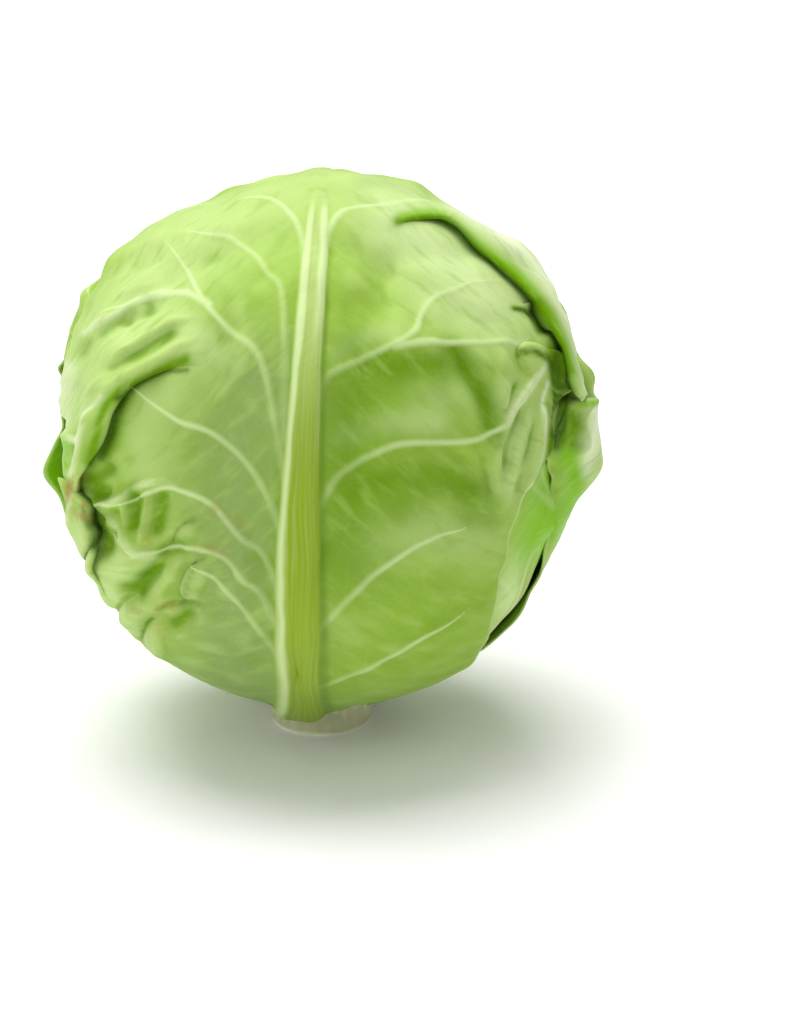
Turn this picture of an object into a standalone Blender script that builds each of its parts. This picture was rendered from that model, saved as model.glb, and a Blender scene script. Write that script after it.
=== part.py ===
"""A head of green cabbage, standing on its cut stump: a packed heart wrapped in six large leaves.

Metres, +Z up. The origin is the middle of the stump's cut face, and the broad front leaf faces -Y.
A point on a leaf is named by two angles seen from the head's centre: `along` runs up the leaf's midrib,
-90 at the stump, 0 at the widest level and 90 at the crown, and `across` runs out from the midrib.
"""
from dataclasses import dataclass, field
from math import cos, radians, sin

import bmesh
import bpy
import numpy as np

# The head
HEART_RADIUS = 0.0790
CROWN_RISE = 0.0665
BASE_DROP = 0.0860
ROUNDNESS = 2.25
CENTRE = np.array([0.0, 0.0, 0.1025])
SWELL = 0.0012
SWELL_WAVES = 12
SWELL_SEED = 7

# The stump
STUMP_RADIUS = 0.0165
STUMP_TOP = 0.0190
STUMP_FLARE = 0.0012
STUMP_CHAMFER = 0.0012
FIT_GAP = 0.0003

# The leaves
BLADE = 0.0012
LAYER = 0.0028
CLASP_WIDTH = 9.0
CLASP_ALONG = -77.5
LAP_CLEAR = 0.0025
LAP_EASE = 0.024
PRESS_CLEAR = 0.0015
PRESS_EASE = 0.0070
DEGREE = radians(HEART_RADIUS + 0.005)

# Ribs, in metres
MIDRIB_RISE = (0.0034, 0.0012)
MIDRIB_HALF_WIDTH = (0.0088, 0.0034)
VEIN_RISE = 0.0014
VEIN_HALF_WIDTH = 0.0018
TENT_RISE = 0.0009
TENT_HALF_WIDTH = 0.0075
PRESSED_RIB = 0.12

# Folds
FOLD_HALF_LENGTH = 0.0080
FOLD_STEP = 0.0032
FOLD_FADE = 0.026
FOLD_SLIDE = 2.33

CURVE_STEPS = 26
RUFFLE_REACH = 0.0060
FLARE_REACH = 0.0062


@dataclass
class Fold:
    """A pleat that grows along `path`: the blade on its `side` (-1 left, 1 right) laps over the rest."""
    path: list
    side: int = -1
    lap: float = 0.0080
    rise: float = 0.0050
    opens_over: float = 0.35


@dataclass
class Ridge:
    """A raised (or, with a negative rise, sunken) crease in the blade."""
    path: list
    rise: float
    half_width: float


@dataclass
class Flare:
    """A stretch of side margin that stands out from the head: side is -1 or 1."""
    side: int
    along: float
    half_length: float
    out: float
    waves: float


@dataclass
class Leaf:
    """One wrapper leaf. `left` and `right` are its outline: (along, half width) in degrees."""
    name: str
    heading: float
    left: list
    right: list
    tip: float
    droop: float
    triangles: int
    grid: tuple = (90, 80)
    midrib: list = field(default_factory=lambda: [(-80, 0), (-20, 1), (40, -1), (90, 1)])
    veins: list = field(default_factory=list)
    folds: list = field(default_factory=list)
    creases: list = field(default_factory=list)
    flares: list = field(default_factory=list)
    ruffle: float = 0.0012
    ribs: float = 1.0


def side_veins(starts, reach, lift, seed):
    """Veins that leave the midrib on both sides, arch up and run out towards the margin."""
    draw = np.random.default_rng(seed)
    veins = []
    for start in starts:
        for side in (-1, 1):
            base = start + draw.uniform(-3, 3)
            out = reach + draw.uniform(-4, 4)
            rise = lift + draw.uniform(-5, 5)
            veins.append([
                (base, 2 * side),
                (base + 0.30 * rise, 0.25 * out * side),
                (base + 0.62 * rise, 0.58 * out * side),
                (base + rise, out * side),
            ])
    return veins


FRONT_VEINS = [
    [(16, -7), (36, -7), (49, -8), (54, -11), (61, -14), (67, -18), (71, -21), (76, -27), (84, -36)],
    [(8, -7), (20, -9), (29, -11), (34, -13), (39, -18), (44, -22), (50, -26), (60, -30), (73, -34), (88, -38)],
    [(50, -26), (55, -31), (57, -36), (60, -41), (62, -48), (66, -58)],
    [(-6, -7), (4, -11), (9, -14), (13, -18), (17, -24), (19, -30), (22, -35), (27, -45)],
    [(-20, -7), (-10, -12), (-8, -16), (-4, -20), (0, -24), (2, -30), (2, -36), (-7, -48), (-11, -60)],
    [(-32, -7), (-20, -12), (-17, -16), (-13, -20), (-12, -26), (-14, -32), (-20, -42), (-18, -52)],
    [(-42, -6), (-30, -12), (-24, -16), (-20, -20), (-18, -24), (-18, -27)],
    [(52, 0), (66, 2), (73, 5), (76, 8), (80, 14), (87, 20), (97, 30)],
    [(20, -1), (27, 1), (30, 5), (36, 16), (40, 21), (45, 23), (52, 27), (56, 32), (60, 36), (66, 45)],
    [(36, 18), (37, 22), (38, 28), (40, 36), (43, 44), (48, 50)],
    [(0, -1), (7, 3), (10, 7), (12, 11), (14, 17), (14, 30), (15, 37), (18, 43), (27, 48), (38, 52)],
    [(-8, -1), (6, 4), (8, 8), (6, 14), (3, 18), (0, 21), (-4, 25), (-9, 30)],
    [(-24, -2), (-12, 8), (-8, 16), (-6, 22), (-9, 30)],
    [(-50, -2), (-42, 8), (-38, 18), (-36, 32)],
]
FRONT_FOLDS = [
    Fold([(76, 18), (80, 25), (82, 30), (80, 35), (77, 40), (75, 45), (70, 50), (62, 56), (52, 60), (44, 62),
          (36, 65)], lap=0.0086, rise=0.0056, opens_over=0.40),
    Fold([(32, -29), (33, -35), (33, -41), (31, -45), (26, -49), (18, -50), (9, -55), (0, -61), (-8, -68),
          (-10, -71)], side=1, lap=0.0078, rise=0.0048, opens_over=0.30),
    Fold([(-64, -40), (-50, -53), (-40, -57), (-30, -58), (-22, -63), (-14, -69)],
         lap=0.0062, rise=0.0048, opens_over=0.35),
]
FRONT_CREASES = [
    Ridge([(52, -34), (54, -42), (55, -48), (55, -54), (51, -61)], -0.0012, 0.0032),
    Ridge([(46, -30), (48, -36), (46, -41), (44, -46), (41, -56)], 0.0014, 0.0032),
    Ridge([(43, -31), (43, -36), (41, -42), (38, -48)], -0.0009, 0.0028),
    Ridge([(36, -32), (38, -36), (37, -40), (35, -46), (31, -53)], 0.0012, 0.0030),
    Ridge([(2, -40), (-4, -41), (-10, -41), (-14, -40)], 0.0016, 0.0024),
    Ridge([(-1, -44), (-6, -44), (-12, -45)], -0.0014, 0.0034),
    Ridge([(-5, -28), (-10, -32), (-15, -35), (-19, -36)], -0.0012, 0.0018),
    Ridge([(-17, -26), (-20, -28), (-25, -30), (-31, -31)], -0.0014, 0.0020),
    Ridge([(-21, -33), (-26, -38), (-32, -43)], -0.0014, 0.0034),
    Ridge([(-32, -34), (-42, -40), (-52, -40)], 0.0016, 0.0036),
    Ridge([(37, 24), (34, 30), (27, 35), (17, 40)], -0.0014, 0.0040),
    Ridge([(40, 45), (42, 50), (42, 54), (39, 62)], -0.0016, 0.0022),
    Ridge([(54, 47), (57, 52), (61, 57)], -0.0010, 0.0020),
    Ridge([(6, 46), (-2, 44), (-10, 42)], 0.0012, 0.0030),
]

LEAVES = [
    Leaf("leaf_inner_back", 180, tip=104, droop=30, triangles=430, grid=(60, 54),
         left=[(-86, 9), (-74, 18), (-60, 42), (-30, 62), (0, 70), (40, 70), (74, 56)],
         right=[(-86, 9), (-74, 18), (-60, 42), (-30, 62), (0, 70), (40, 70), (74, 56)],
         veins=side_veins((30, 55), 40, 30, 61), ribs=0.3),
    Leaf("leaf_inner_left", -75, tip=94, droop=28, triangles=430, grid=(60, 54),
         left=[(-86, 9), (-74, 18), (-60, 40), (-30, 60), (0, 68), (40, 68), (66, 58)],
         right=[(-86, 9), (-74, 18), (-60, 40), (-30, 60), (0, 68), (40, 68), (66, 58)],
         veins=side_veins((-35, -10, 15), 48, 30, 52), ribs=0.3),
    Leaf("leaf_inner_right", 62, tip=98, droop=28, triangles=480, grid=(60, 54),
         left=[(-86, 9), (-74, 18), (-60, 40), (-30, 60), (0, 68), (40, 68), (70, 58)],
         right=[(-86, 9), (-74, 18), (-60, 40), (-30, 60), (0, 68), (40, 68), (70, 58)],
         veins=side_veins((-35, -10, 15), 48, 30, 43), ribs=0.4),
    Leaf("leaf_back_left", -145, tip=90, droop=26, triangles=1000, grid=(100, 88),
         left=[(-86, 9), (-74, 18), (-60, 42), (-30, 58), (0, 62), (40, 62), (64, 52)],
         right=[(-86, 9), (-74, 18), (-60, 36), (-30, 48), (0, 52), (40, 56), (64, 52)],
         veins=side_veins((-58, -40, -22, -4, 14, 34, 54), 44, 32, 34),
         flares=[Flare(1, -15, 16, 0.0075, 1.4), Flare(1, 34, 14, 0.0030, 2.2)],
         creases=[Ridge([(20, 30), (34, 36), (44, 48)], 0.0018, 0.0034),
                  Ridge([(-30, -40), (-14, -46), (4, -56)], 0.0018, 0.0032)],
         ruffle=0.0016),
    Leaf("leaf_back_right", 130, tip=94, droop=28, triangles=1050, grid=(100, 88),
         left=[(-86, 9), (-74, 18), (-60, 42), (-30, 62), (-10, 68), (10, 70), (30, 66), (66, 54)],
         right=[(-86, 9), (-74, 18), (-60, 40), (-30, 58), (0, 62), (40, 64), (66, 54)],
         veins=side_veins((-58, -40, -22, -4, 14, 34, 54), 46, 32, 25),
         flares=[Flare(-1, -4, 25, 0.0060, 2.6), Flare(1, 10, 40, 0.0030, 3.0)],
         folds=[Fold([(46, 22), (36, 34), (22, 44), (6, 54), (-10, 66)],
                     lap=0.0076, rise=0.0042, opens_over=0.45)],
         creases=[Ridge([(-26, 34), (-14, 44), (-4, 54)], 0.0018, 0.0034),
                  Ridge([(30, -24), (22, -38), (18, -52)], 0.0018, 0.0036),
                  Ridge([(36, -40), (18, -46), (0, -48), (-20, -44), (-36, -38)], 0.0048, 0.0100)],
         ruffle=0.0018),
    Leaf("leaf_front", 0, tip=116, droop=31, triangles=2500, grid=(170, 150),
         left=[(-86, 9), (-74, 18), (-60, 42), (-30, 64), (-10, 70), (20, 76), (50, 76), (85, 62)],
         right=[(-86, 9), (-74, 18), (-60, 32), (-30, 41), (-10, 47), (2, 54), (12, 57), (22, 57), (30, 63),
                (40, 73), (52, 76), (85, 62)],
         midrib=[(-80, -4), (-15, -4.3), (24, -2.6), (59, -0.6), (85, 1), (114, 4)],
         veins=FRONT_VEINS, folds=FRONT_FOLDS, creases=FRONT_CREASES,
         flares=[Flare(1, 12, 22, 0.0022, 1.5)], ruffle=0.0012),
]


def smooth(low, high, x):
    """0 below low, 1 above high, and an eased step between them."""
    t = np.clip((x - low) / (high - low), 0, 1)
    return t * t * (3 - 2 * t)


def spline(points, count=CURVE_STEPS):
    """A smooth curve through the points, read at even steps."""
    p = np.asarray(points, float)
    p = np.vstack([2 * p[0] - p[1], p, 2 * p[-1] - p[-2]])
    steps = np.linspace(0, len(points) - 1, count)
    i = np.minimum(steps.astype(int), len(points) - 2)
    t = (steps - i)[:, None]
    a, b, c, d = p[i], p[i + 1], p[i + 2], p[i + 3]
    return 0.5 * (2 * b + (c - a) * t + (2 * a - 5 * b + 4 * c - d) * t ** 2 + (3 * b - a - 3 * c + d) * t ** 3)


def leaf_axes(leaf):
    """The leaf's outward and sideways unit vectors."""
    turn = radians(leaf.heading)
    return np.array([sin(turn), -cos(turn), 0.0]), np.array([cos(turn), sin(turn), 0.0])


def direction(leaf, along, across):
    """Unit vectors from the head's centre through points of the leaf."""
    out, side = leaf_axes(leaf)
    s, w = np.radians(along)[..., None], np.radians(across)[..., None]
    up = np.array([0.0, 0.0, 1.0])
    return np.cos(w) * (np.cos(s) * out + np.sin(s) * up) + np.sin(w) * side


def leaf_angles(leaf, d):
    """The inverse of direction: (along, across) of unit vectors, in degrees."""
    out, side = leaf_axes(leaf)
    across = np.degrees(np.arcsin(np.clip(d @ side, -1, 1)))
    return np.degrees(np.arctan2(d[..., 2], d @ out)), across


def half_width(leaf, along, right):
    """The outline's half width at `along`, on the right side where `right` is true."""
    sides = []
    for outline in (leaf.left, leaf.right):
        curve = spline(outline, 60)
        sides.append(np.interp(along, curve[:, 0], curve[:, 1]))
    return np.where(right, sides[1], sides[0])


def tip_along(leaf, v):
    """Where the leaf ends, for a share v of its half width."""
    return leaf.tip - leaf.droop * np.abs(v) ** 2.4


def outside(leaf, d):
    """How far directions lie outside the leaf's outline, in metres; negative inside."""
    along, across = leaf_angles(leaf, d)
    width = half_width(leaf, along, across > 0)
    beyond_side = np.abs(across) - width
    beyond_tip = along - tip_along(leaf, np.clip(across / width, -1, 1))
    beyond_base = CLASP_ALONG - 8 - along
    beyond_base = np.where(along < -90, 90.0, beyond_base)
    return np.maximum.reduce([beyond_side, beyond_tip, beyond_base]) * DEGREE


def swell(d):
    """A shared soft unevenness of the whole head."""
    draw = np.random.default_rng(SWELL_SEED)
    total = 0
    for _ in range(SWELL_WAVES):
        wave = draw.normal(size=3)
        wave *= draw.uniform(5, 10) / np.linalg.norm(wave)
        total = total + np.sin(d @ wave + draw.uniform(0, 6.3))
    return total / SWELL_WAVES ** 0.5


def heart_radius(d):
    """Distance from the head's centre to the heart's surface."""
    rise = np.where(d[..., 2] > 0, CROWN_RISE, BASE_DROP)
    flat = np.hypot(d[..., 0], d[..., 1]) / HEART_RADIUS
    body = (flat ** ROUNDNESS + np.abs(d[..., 2] / rise) ** ROUNDNESS) ** (-1 / ROUNDNESS)
    return body + SWELL * swell(d) * smooth(-0.97, -0.7, d[..., 2])


def stacked_radius(leaf, d):
    """Distance to the leaf's middle surface: it lies on every leaf beneath it."""
    radius = heart_radius(d) + 0.0005 + BLADE / 2 + FIT_GAP
    for lower in LEAVES[:LEAVES.index(leaf)]:
        radius = radius + LAYER * (1 - smooth(LAP_CLEAR, LAP_EASE, outside(lower, d)))
    return radius


def exposed(leaf, d):
    """1 where the leaf shows, 0 where another leaf presses it flat."""
    share = np.ones(len(d))
    for upper in LEAVES[LEAVES.index(leaf) + 1:]:
        share = share * smooth(PRESS_CLEAR, PRESS_EASE, outside(upper, d))
    return share


def follow(leaf, path, points):
    """For each point: its distance from a path on the leaf, how far it lies to the path's right, how far
    along the path it is (0 to 1), and the unit vector towards the path's right."""
    curve = spline(path)
    d = direction(leaf, curve[:, 0], curve[:, 1])
    nodes = CENTRE + d * stacked_radius(leaf, d)[:, None]
    starts, spans = nodes[:-1], nodes[1:] - nodes[:-1]
    lengths = (spans ** 2).sum(1)
    gaps = points[:, None, :] - starts
    t = np.clip((gaps * spans).sum(2) / lengths, 0, 1)
    gaps = gaps - t[..., None] * spans
    distances = (gaps ** 2).sum(2)
    nearest = distances.argmin(1)
    rows = np.arange(len(points))
    off = np.sqrt(distances[rows, nearest])
    at = (nearest + t[rows, nearest]) / len(spans)
    right = np.cross(spans[nearest], points - CENTRE)
    right /= np.linalg.norm(right, axis=1)[:, None]
    return off, (gaps[rows, nearest] * right).sum(1), at, right


def pleated(leaf, points, radial, share):
    """The points moved by the leaf's folds, each an S in cross-section that grows from its first point."""
    moved = points.copy()
    for fold in leaf.folds:
        _, rightwards, at, right = follow(leaf, fold.path, points)
        under = -fold.side * rightwards
        x = under / FOLD_HALF_LENGTH
        grown = smooth(0, fold.opens_over, at) * share
        slide = fold.side * fold.lap * FOLD_SLIDE * x * np.exp(-x * x)
        lift = fold.rise * 0.5 * (1 - np.tanh(under / FOLD_STEP)) * np.exp(-(np.minimum(under, 0) / FOLD_FADE) ** 2)
        moved += (grown * slide)[:, None] * right + (grown * lift)[:, None] * radial
    return moved


def margin_lift(leaf, along, v, d, share):
    """Ruffles and flares near the margins, in metres outwards."""
    width = half_width(leaf, along, v > 0)
    from_side = (1 - np.abs(v)) * width * DEGREE
    from_tip = (tip_along(leaf, v) - along) * DEGREE
    edge = np.minimum(from_side, from_tip)
    phase = np.radians(along * 7 + v * 160)
    lift = leaf.ruffle * (0.6 + 0.4 * np.sin(phase)) * np.exp(-edge / RUFFLE_REACH)
    for flare in leaf.flares:
        near = np.exp(-((along - flare.along) / flare.half_length) ** 4) * (v * flare.side > 0)
        wave = 0.78 + 0.22 * np.sin(flare.waves * np.pi * (along - flare.along) / flare.half_length)
        lift = lift + flare.out * near * wave * np.exp(-from_side / FLARE_REACH)
    return lift * share * smooth(-74, -60, along)


def leaf_sheet(leaf, u, v):
    """Middle surface of the leaf and the height of the ribs on its outer face, at grid places (u, v)."""
    clasp = np.radians(CLASP_WIDTH * v)
    start = -np.degrees(np.arcsin(np.clip(sin(radians(-CLASP_ALONG)) / np.cos(clasp), 0, 1)))
    along = start + (tip_along(leaf, v) - start) * u
    across = v * half_width(leaf, along, v > 0)
    d = direction(leaf, along, across)
    points = CENTRE + d * stacked_radius(leaf, d)[:, None]
    share = exposed(leaf, d)
    lift = margin_lift(leaf, along, v, d, share)
    ribs = np.zeros(len(u))
    off, _, at, _ = follow(leaf, leaf.midrib, points)
    rise = np.interp(at, [0, 1], MIDRIB_RISE)
    rib_width = np.interp(at, [0, 1], MIDRIB_HALF_WIDTH)
    ribs += rise * np.exp(-(off / rib_width) ** 4) * smooth(1, 0.93, at)
    for path in leaf.veins:
        off, _, at, _ = follow(leaf, path, points)
        thin = 1 - 0.55 * at
        ends = smooth(1.0, 0.9, at)
        ribs = np.maximum(ribs, VEIN_RISE * thin * ends * np.exp(-(off / (VEIN_HALF_WIDTH * thin)) ** 2))
        lift += TENT_RISE * thin * ends * share * np.exp(-(off / TENT_HALF_WIDTH) ** 2)
    for crease in leaf.creases:
        off, _, at, _ = follow(leaf, crease.path, points)
        ends = smooth(0, 0.25, at) * smooth(1, 0.75, at)
        lift += crease.rise * share * ends * np.exp(-(off / crease.half_width) ** 2)
    points += lift[:, None] * d
    return pleated(leaf, points, d, share), ribs * leaf.ribs * (PRESSED_RIB + (1 - PRESSED_RIB) * share)


def new_object(name, mesh, colour, collection):
    """An object with its own plain material."""
    obj = bpy.data.objects.new(name, mesh)
    collection.objects.link(obj)
    material = bpy.data.materials.new(name)
    material.use_nodes = True
    shader = material.node_tree.nodes["Principled BSDF"]
    shader.inputs["Base Color"].default_value = (*colour, 1)
    shader.inputs["Roughness"].default_value = 0.45
    mesh.materials.append(material)
    mesh.shade_smooth()
    return obj


def applied(obj):
    """Replaces the object's mesh by its evaluated one, with the modifiers applied."""
    graph = bpy.context.evaluated_depsgraph_get()
    mesh = bpy.data.meshes.new_from_object(obj.evaluated_get(graph))
    obj.modifiers.clear()
    obj.data = mesh
    return mesh


def grid_places(mesh):
    """The (u, v) place of every vertex, kept in the mesh's UV map: u from 0 to 1 and v from -1 to 1."""
    places = np.zeros((len(mesh.vertices), 2))
    corners = np.empty(len(mesh.loops), int)
    mesh.loops.foreach_get("vertex_index", corners)
    flat = np.empty(len(mesh.loops) * 2)
    mesh.uv_layers.active.uv.foreach_get("vector", flat)
    places[corners] = flat.reshape(-1, 2)
    return places[:, 1], 2 * places[:, 0] - 1


def set_points(mesh, points):
    """Moves the mesh's vertices."""
    mesh.vertices.foreach_set("co", np.asarray(points, np.float32).ravel())
    mesh.update()


def face_normals(mesh):
    """The mesh's vertex normals."""
    normals = np.empty(len(mesh.vertices) * 3, np.float32)
    mesh.vertex_normals.foreach_get("vector", normals)
    return normals.reshape(-1, 3).astype(float)


def make_leaf(leaf, collection):
    """A grid bent into the leaf's sheet, thinned to few triangles, then given its thickness and ribs."""
    mesh = bpy.data.meshes.new(leaf.name)
    grid = bmesh.new()
    grid.loops.layers.uv.new("place")
    bmesh.ops.create_grid(grid, x_segments=leaf.grid[1], y_segments=leaf.grid[0], size=1, calc_uvs=True)
    grid.to_mesh(mesh)
    grid.free()
    obj = new_object(leaf.name, mesh, LEAF_COLOURS[leaf.name], collection)

    u, v = grid_places(mesh)
    points, ribs = leaf_sheet(leaf, u, v)
    set_points(mesh, points)
    set_points(mesh, points + face_normals(mesh) * ribs[:, None])

    thin = obj.modifiers.new("Thin", "DECIMATE")
    thin.ratio = leaf.triangles / (2 * len(mesh.polygons))
    thin.use_collapse_triangulate = True
    mesh = applied(obj)
    u, v = grid_places(mesh)
    points, ribs = leaf_sheet(leaf, u, v)
    set_points(mesh, points)
    normals = face_normals(mesh)

    shell = obj.modifiers.new("Shell", "SOLIDIFY")
    shell.thickness = BLADE
    shell.offset = -1
    mesh = applied(obj)
    outer = points + normals * (BLADE / 2 + ribs)[:, None]
    inner = points - normals * BLADE / 2
    set_points(mesh, np.vstack([outer, inner]))
    return obj


def make_heart(collection):
    """The packed inner head, cut flat where the stump meets it."""
    mesh = bpy.data.meshes.new("heart")
    ball = bmesh.new()
    bmesh.ops.create_icosphere(ball, subdivisions=4, radius=1)
    ball.to_mesh(mesh)
    ball.free()
    d = np.empty(len(mesh.vertices) * 3)
    mesh.vertices.foreach_get("co", d)
    d = d.reshape(-1, 3)
    d /= np.linalg.norm(d, axis=1)[:, None]
    points = CENTRE + d * (heart_radius(d) - FIT_GAP)[:, None]
    points[:, 2] = np.maximum(points[:, 2], STUMP_TOP + FIT_GAP)
    set_points(mesh, points)
    return new_object("heart", mesh, HEART_COLOUR, collection)


def make_stump(collection):
    """The cut stem: a slightly flared post with a chamfered cut face at the floor."""
    profile = [
        (0, STUMP_TOP),
        (STUMP_RADIUS, STUMP_TOP),
        (STUMP_RADIUS, STUMP_TOP * 0.45),
        (STUMP_RADIUS + STUMP_FLARE * 0.4, STUMP_CHAMFER + 0.0018),
        (STUMP_RADIUS, STUMP_CHAMFER),
        (STUMP_RADIUS - STUMP_CHAMFER, 0),
        (0, 0),
    ]
    mesh = bpy.data.meshes.new("stump")
    mesh.from_pydata([(x, 0, z) for x, z in profile], [(i, i + 1) for i in range(len(profile) - 1)], [])
    obj = new_object("stump", mesh, STUMP_COLOUR, collection)
    turn = obj.modifiers.new("Turn", "SCREW")
    turn.steps = 28
    turn.render_steps = 28
    turn.use_merge_vertices = True
    turn.merge_threshold = 0.00001
    return obj


LEAF_COLOURS = {
    "leaf_inner_back": (0.52, 0.68, 0.26),
    "leaf_inner_left": (0.44, 0.64, 0.16),
    "leaf_inner_right": (0.42, 0.66, 0.12),
    "leaf_back_left": (0.42, 0.62, 0.18),
    "leaf_back_right": (0.44, 0.63, 0.18),
    "leaf_front": (0.45, 0.64, 0.20),
}
HEART_COLOUR = (0.66, 0.76, 0.40)
STUMP_COLOUR = (0.74, 0.76, 0.52)


def main():
    """Clears the scene and builds the head."""
    for obj in list(bpy.data.objects):
        bpy.data.objects.remove(obj)
    collection = bpy.data.collections.new("cabbage_head")
    bpy.context.scene.collection.children.link(collection)
    make_stump(collection)
    make_heart(collection)
    for leaf in LEAVES:
        make_leaf(leaf, collection)


main()
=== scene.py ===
"""The looks of a head of green cabbage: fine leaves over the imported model, their finishes and a studio.

Metres, +Z up. The origin is the middle of the stump's cut face, and the broad front leaf faces -Y. A place
on a leaf is named by two angles in degrees seen from the head's centre: `along` runs up the leaf's midrib,
-90 at the stump, 0 at the widest level and 90 at the crown, and `across` runs out from the midrib.
"""
import logging
from dataclasses import dataclass, field, replace
from enum import Enum
from math import cos, radians, sin

import bpy
import numpy as np
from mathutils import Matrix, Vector


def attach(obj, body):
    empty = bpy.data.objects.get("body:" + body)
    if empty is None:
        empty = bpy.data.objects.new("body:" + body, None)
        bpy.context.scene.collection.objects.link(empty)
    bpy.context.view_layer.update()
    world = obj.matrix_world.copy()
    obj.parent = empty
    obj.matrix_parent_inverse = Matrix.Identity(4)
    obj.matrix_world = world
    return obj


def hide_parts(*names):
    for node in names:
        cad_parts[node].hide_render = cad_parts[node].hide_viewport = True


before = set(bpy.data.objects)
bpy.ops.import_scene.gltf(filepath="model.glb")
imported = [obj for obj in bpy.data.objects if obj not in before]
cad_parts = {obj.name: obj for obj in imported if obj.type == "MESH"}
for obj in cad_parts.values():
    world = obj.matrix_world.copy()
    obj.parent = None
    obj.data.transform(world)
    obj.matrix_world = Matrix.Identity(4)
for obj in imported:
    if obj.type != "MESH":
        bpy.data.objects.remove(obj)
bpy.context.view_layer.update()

LOG = logging.getLogger("cabbage")
Array = np.ndarray
Colour = tuple[float, float, float]
Places = list[tuple[float, float]]
MM = 0.001
BODY = "root"
CREASE_REACH = 3.2
STROKE_REACH = 2.5
VEIN_ARCH = ((0.30, 0.25), (0.62, 0.58), (1, 1))
TWIG_STEPS = (5, 37, 3.2)
TWIG_TURN = (38, 62)
TWIG_LENGTH = (5, 10)


class Side(Enum):
    """A side of a path or of a leaf, seen from outside the head with the crown up."""

    LEFT = -1
    RIGHT = 1


class Wash(Enum):
    """What a stroke of colour does to a leaf: the name of the mark that the finish reads. Only the bloom and
    the scars are the leaf's own colour; the other washes are painted light and painted shade.
    """

    BLOOM = "bloom"
    # painted light: a lighter green where the top and the ridges catch the light
    PAINTED_LIGHT = "pale"
    # painted highlight: near-white where rims, lips and crests catch the light
    HIGHLIGHT = "wax"
    # painted shade: saturated dark green in hollows and under the folds
    DEEP_SHADE = "deep_shade"
    # painted light shining through the thin blade: bright green in recesses, on lips and on thin lobes
    BACKLIT = "backlit"
    # painted shade: the darkest green along creases and in recesses
    CREASE_SHADE = "crease_shade"
    SCAR = "scar"


class Slot(Enum):
    """The record's material slots."""

    LEAF_OUTER = "leaf_outer"
    LEAF_INNER = "leaf_inner"
    HEART = "heart"
    STUMP = "stump"


@dataclass
class Fold:
    """A pleat that grows along `path`: the blade on its `side` laps over the rest."""

    path: Places
    side: Side = Side.LEFT
    lap: float = 0.0080
    rise: float = 0.0050
    opens_over: float = 0.35
    closes_over: float = 0.0
    size: float = 1.0


@dataclass
class Crease:
    """A raised (or, with a negative rise, sunken) line in the blade, with a rounded or a sharp crest."""

    path: Places
    rise: float
    half_width: float
    sharp: bool = False


@dataclass
class Flare:
    """A stretch of side margin that stands out from the head."""

    side: Side
    along: float
    half_length: float
    out: float
    waves: float


@dataclass
class Stroke:
    """A soft stroke of colour along a path on a leaf: some strokes are bloom and scars, the rest painted light
    and painted shade.
    """

    wash: Wash
    path: Places
    half_width: float
    strength: float = 1.0


@dataclass
class Leaf:
    """One leaf: its outline, `left` and `right`, as (along, half width) in degrees, and what is on it.

    The creases and strokes in `seen` have their paths and half widths in the photograph's pixels, where it
    shows them, and so have the paths of `seen_folds`. All other paths are in degrees, and widths in metres.
    """

    name: str
    heading: float
    left: Places
    right: Places
    tip: float
    droop: float
    slot: Slot
    lines: tuple[int, int] = (120, 110)
    midrib: Places = field(default_factory=lambda: [(-80, 0), (-20, 1), (40, -1), (90, 1)])
    veins: list[Places] = field(default_factory=list)
    folds: list[Fold] = field(default_factory=list)
    creases: list[Crease] = field(default_factory=list)
    flares: list[Flare] = field(default_factory=list)
    strokes: list[Stroke] = field(default_factory=list)
    seen_folds: list[Fold] = field(default_factory=list)
    seen: list[Crease | Stroke] = field(default_factory=list)
    ruffle: float = 0.0012
    ribs: float = 1.0
    seed: int = 1

    def axes(self) -> tuple[Array, Array]:
        """The outward and sideways unit vectors."""
        turn = radians(self.heading)
        return np.array([sin(turn), -cos(turn), 0.0]), np.array([cos(turn), sin(turn), 0.0])

    def direction(self, along: Array, across: Array) -> Array:
        """Unit vectors from the head's centre through places on the leaf.

        Args:
            along: Degrees along the leaf.
            across: Degrees across it.

        Returns:
            The unit vectors, one row each.
        """
        out, side = self.axes()
        s, w = np.radians(along)[..., None], np.radians(across)[..., None]
        return np.cos(w) * (np.cos(s) * out + np.sin(s) * np.array([0.0, 0.0, 1.0])) + np.sin(w) * side

    def angles(self, d: Array) -> tuple[Array, Array]:
        """The (along, across) of unit vectors, in degrees.

        Args:
            d: Unit vectors from the head's centre, one row each.

        Returns:
            The angle along and the angle across of each.
        """
        out, side = self.axes()
        across = np.degrees(np.arcsin(np.clip(d @ side, -1, 1)))
        return np.degrees(np.arctan2(d[..., 2], d @ out)), across

    def half_width(self, along: Array, right: Array) -> Array:
        """The outline's half width at `along`, on the right side where `right` is true.

        Args:
            along: Degrees along the leaf.
            right: Where the right side counts.

        Returns:
            The half widths in degrees.
        """
        sides = []
        for outline in (self.left, self.right):
            curve = spline(outline, 60)
            sides.append(np.interp(along, curve[:, 0], curve[:, 1]))
        return np.where(right, sides[1], sides[0])

    def tip_along(self, v: Array) -> Array:
        """Where the leaf ends, for a share v of its half width."""
        return self.tip - self.droop * np.abs(v) ** 2.4


@dataclass
class Track:
    """How some points lie to a path.

    It holds their indices, their plain distances and those to the right, their way along the path from 0 to
    1, and the path's right-hand side there.
    """

    near: Array
    off: Array
    rightwards: Array
    at: Array
    right: Array


@dataclass
class Sheet:
    """A leaf's middle surface at its grid places, with what stands on its outer face and what colours it."""

    points: Array
    ribs: Array
    half_blade: Array
    marks: dict[str, Array]


def smooth(low: float, high: float, x: Array) -> Array:
    """0 below low, 1 above high, and an eased step between them."""
    t = np.clip((x - low) / (high - low), 0, 1)
    return t * t * (3 - 2 * t)


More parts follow.
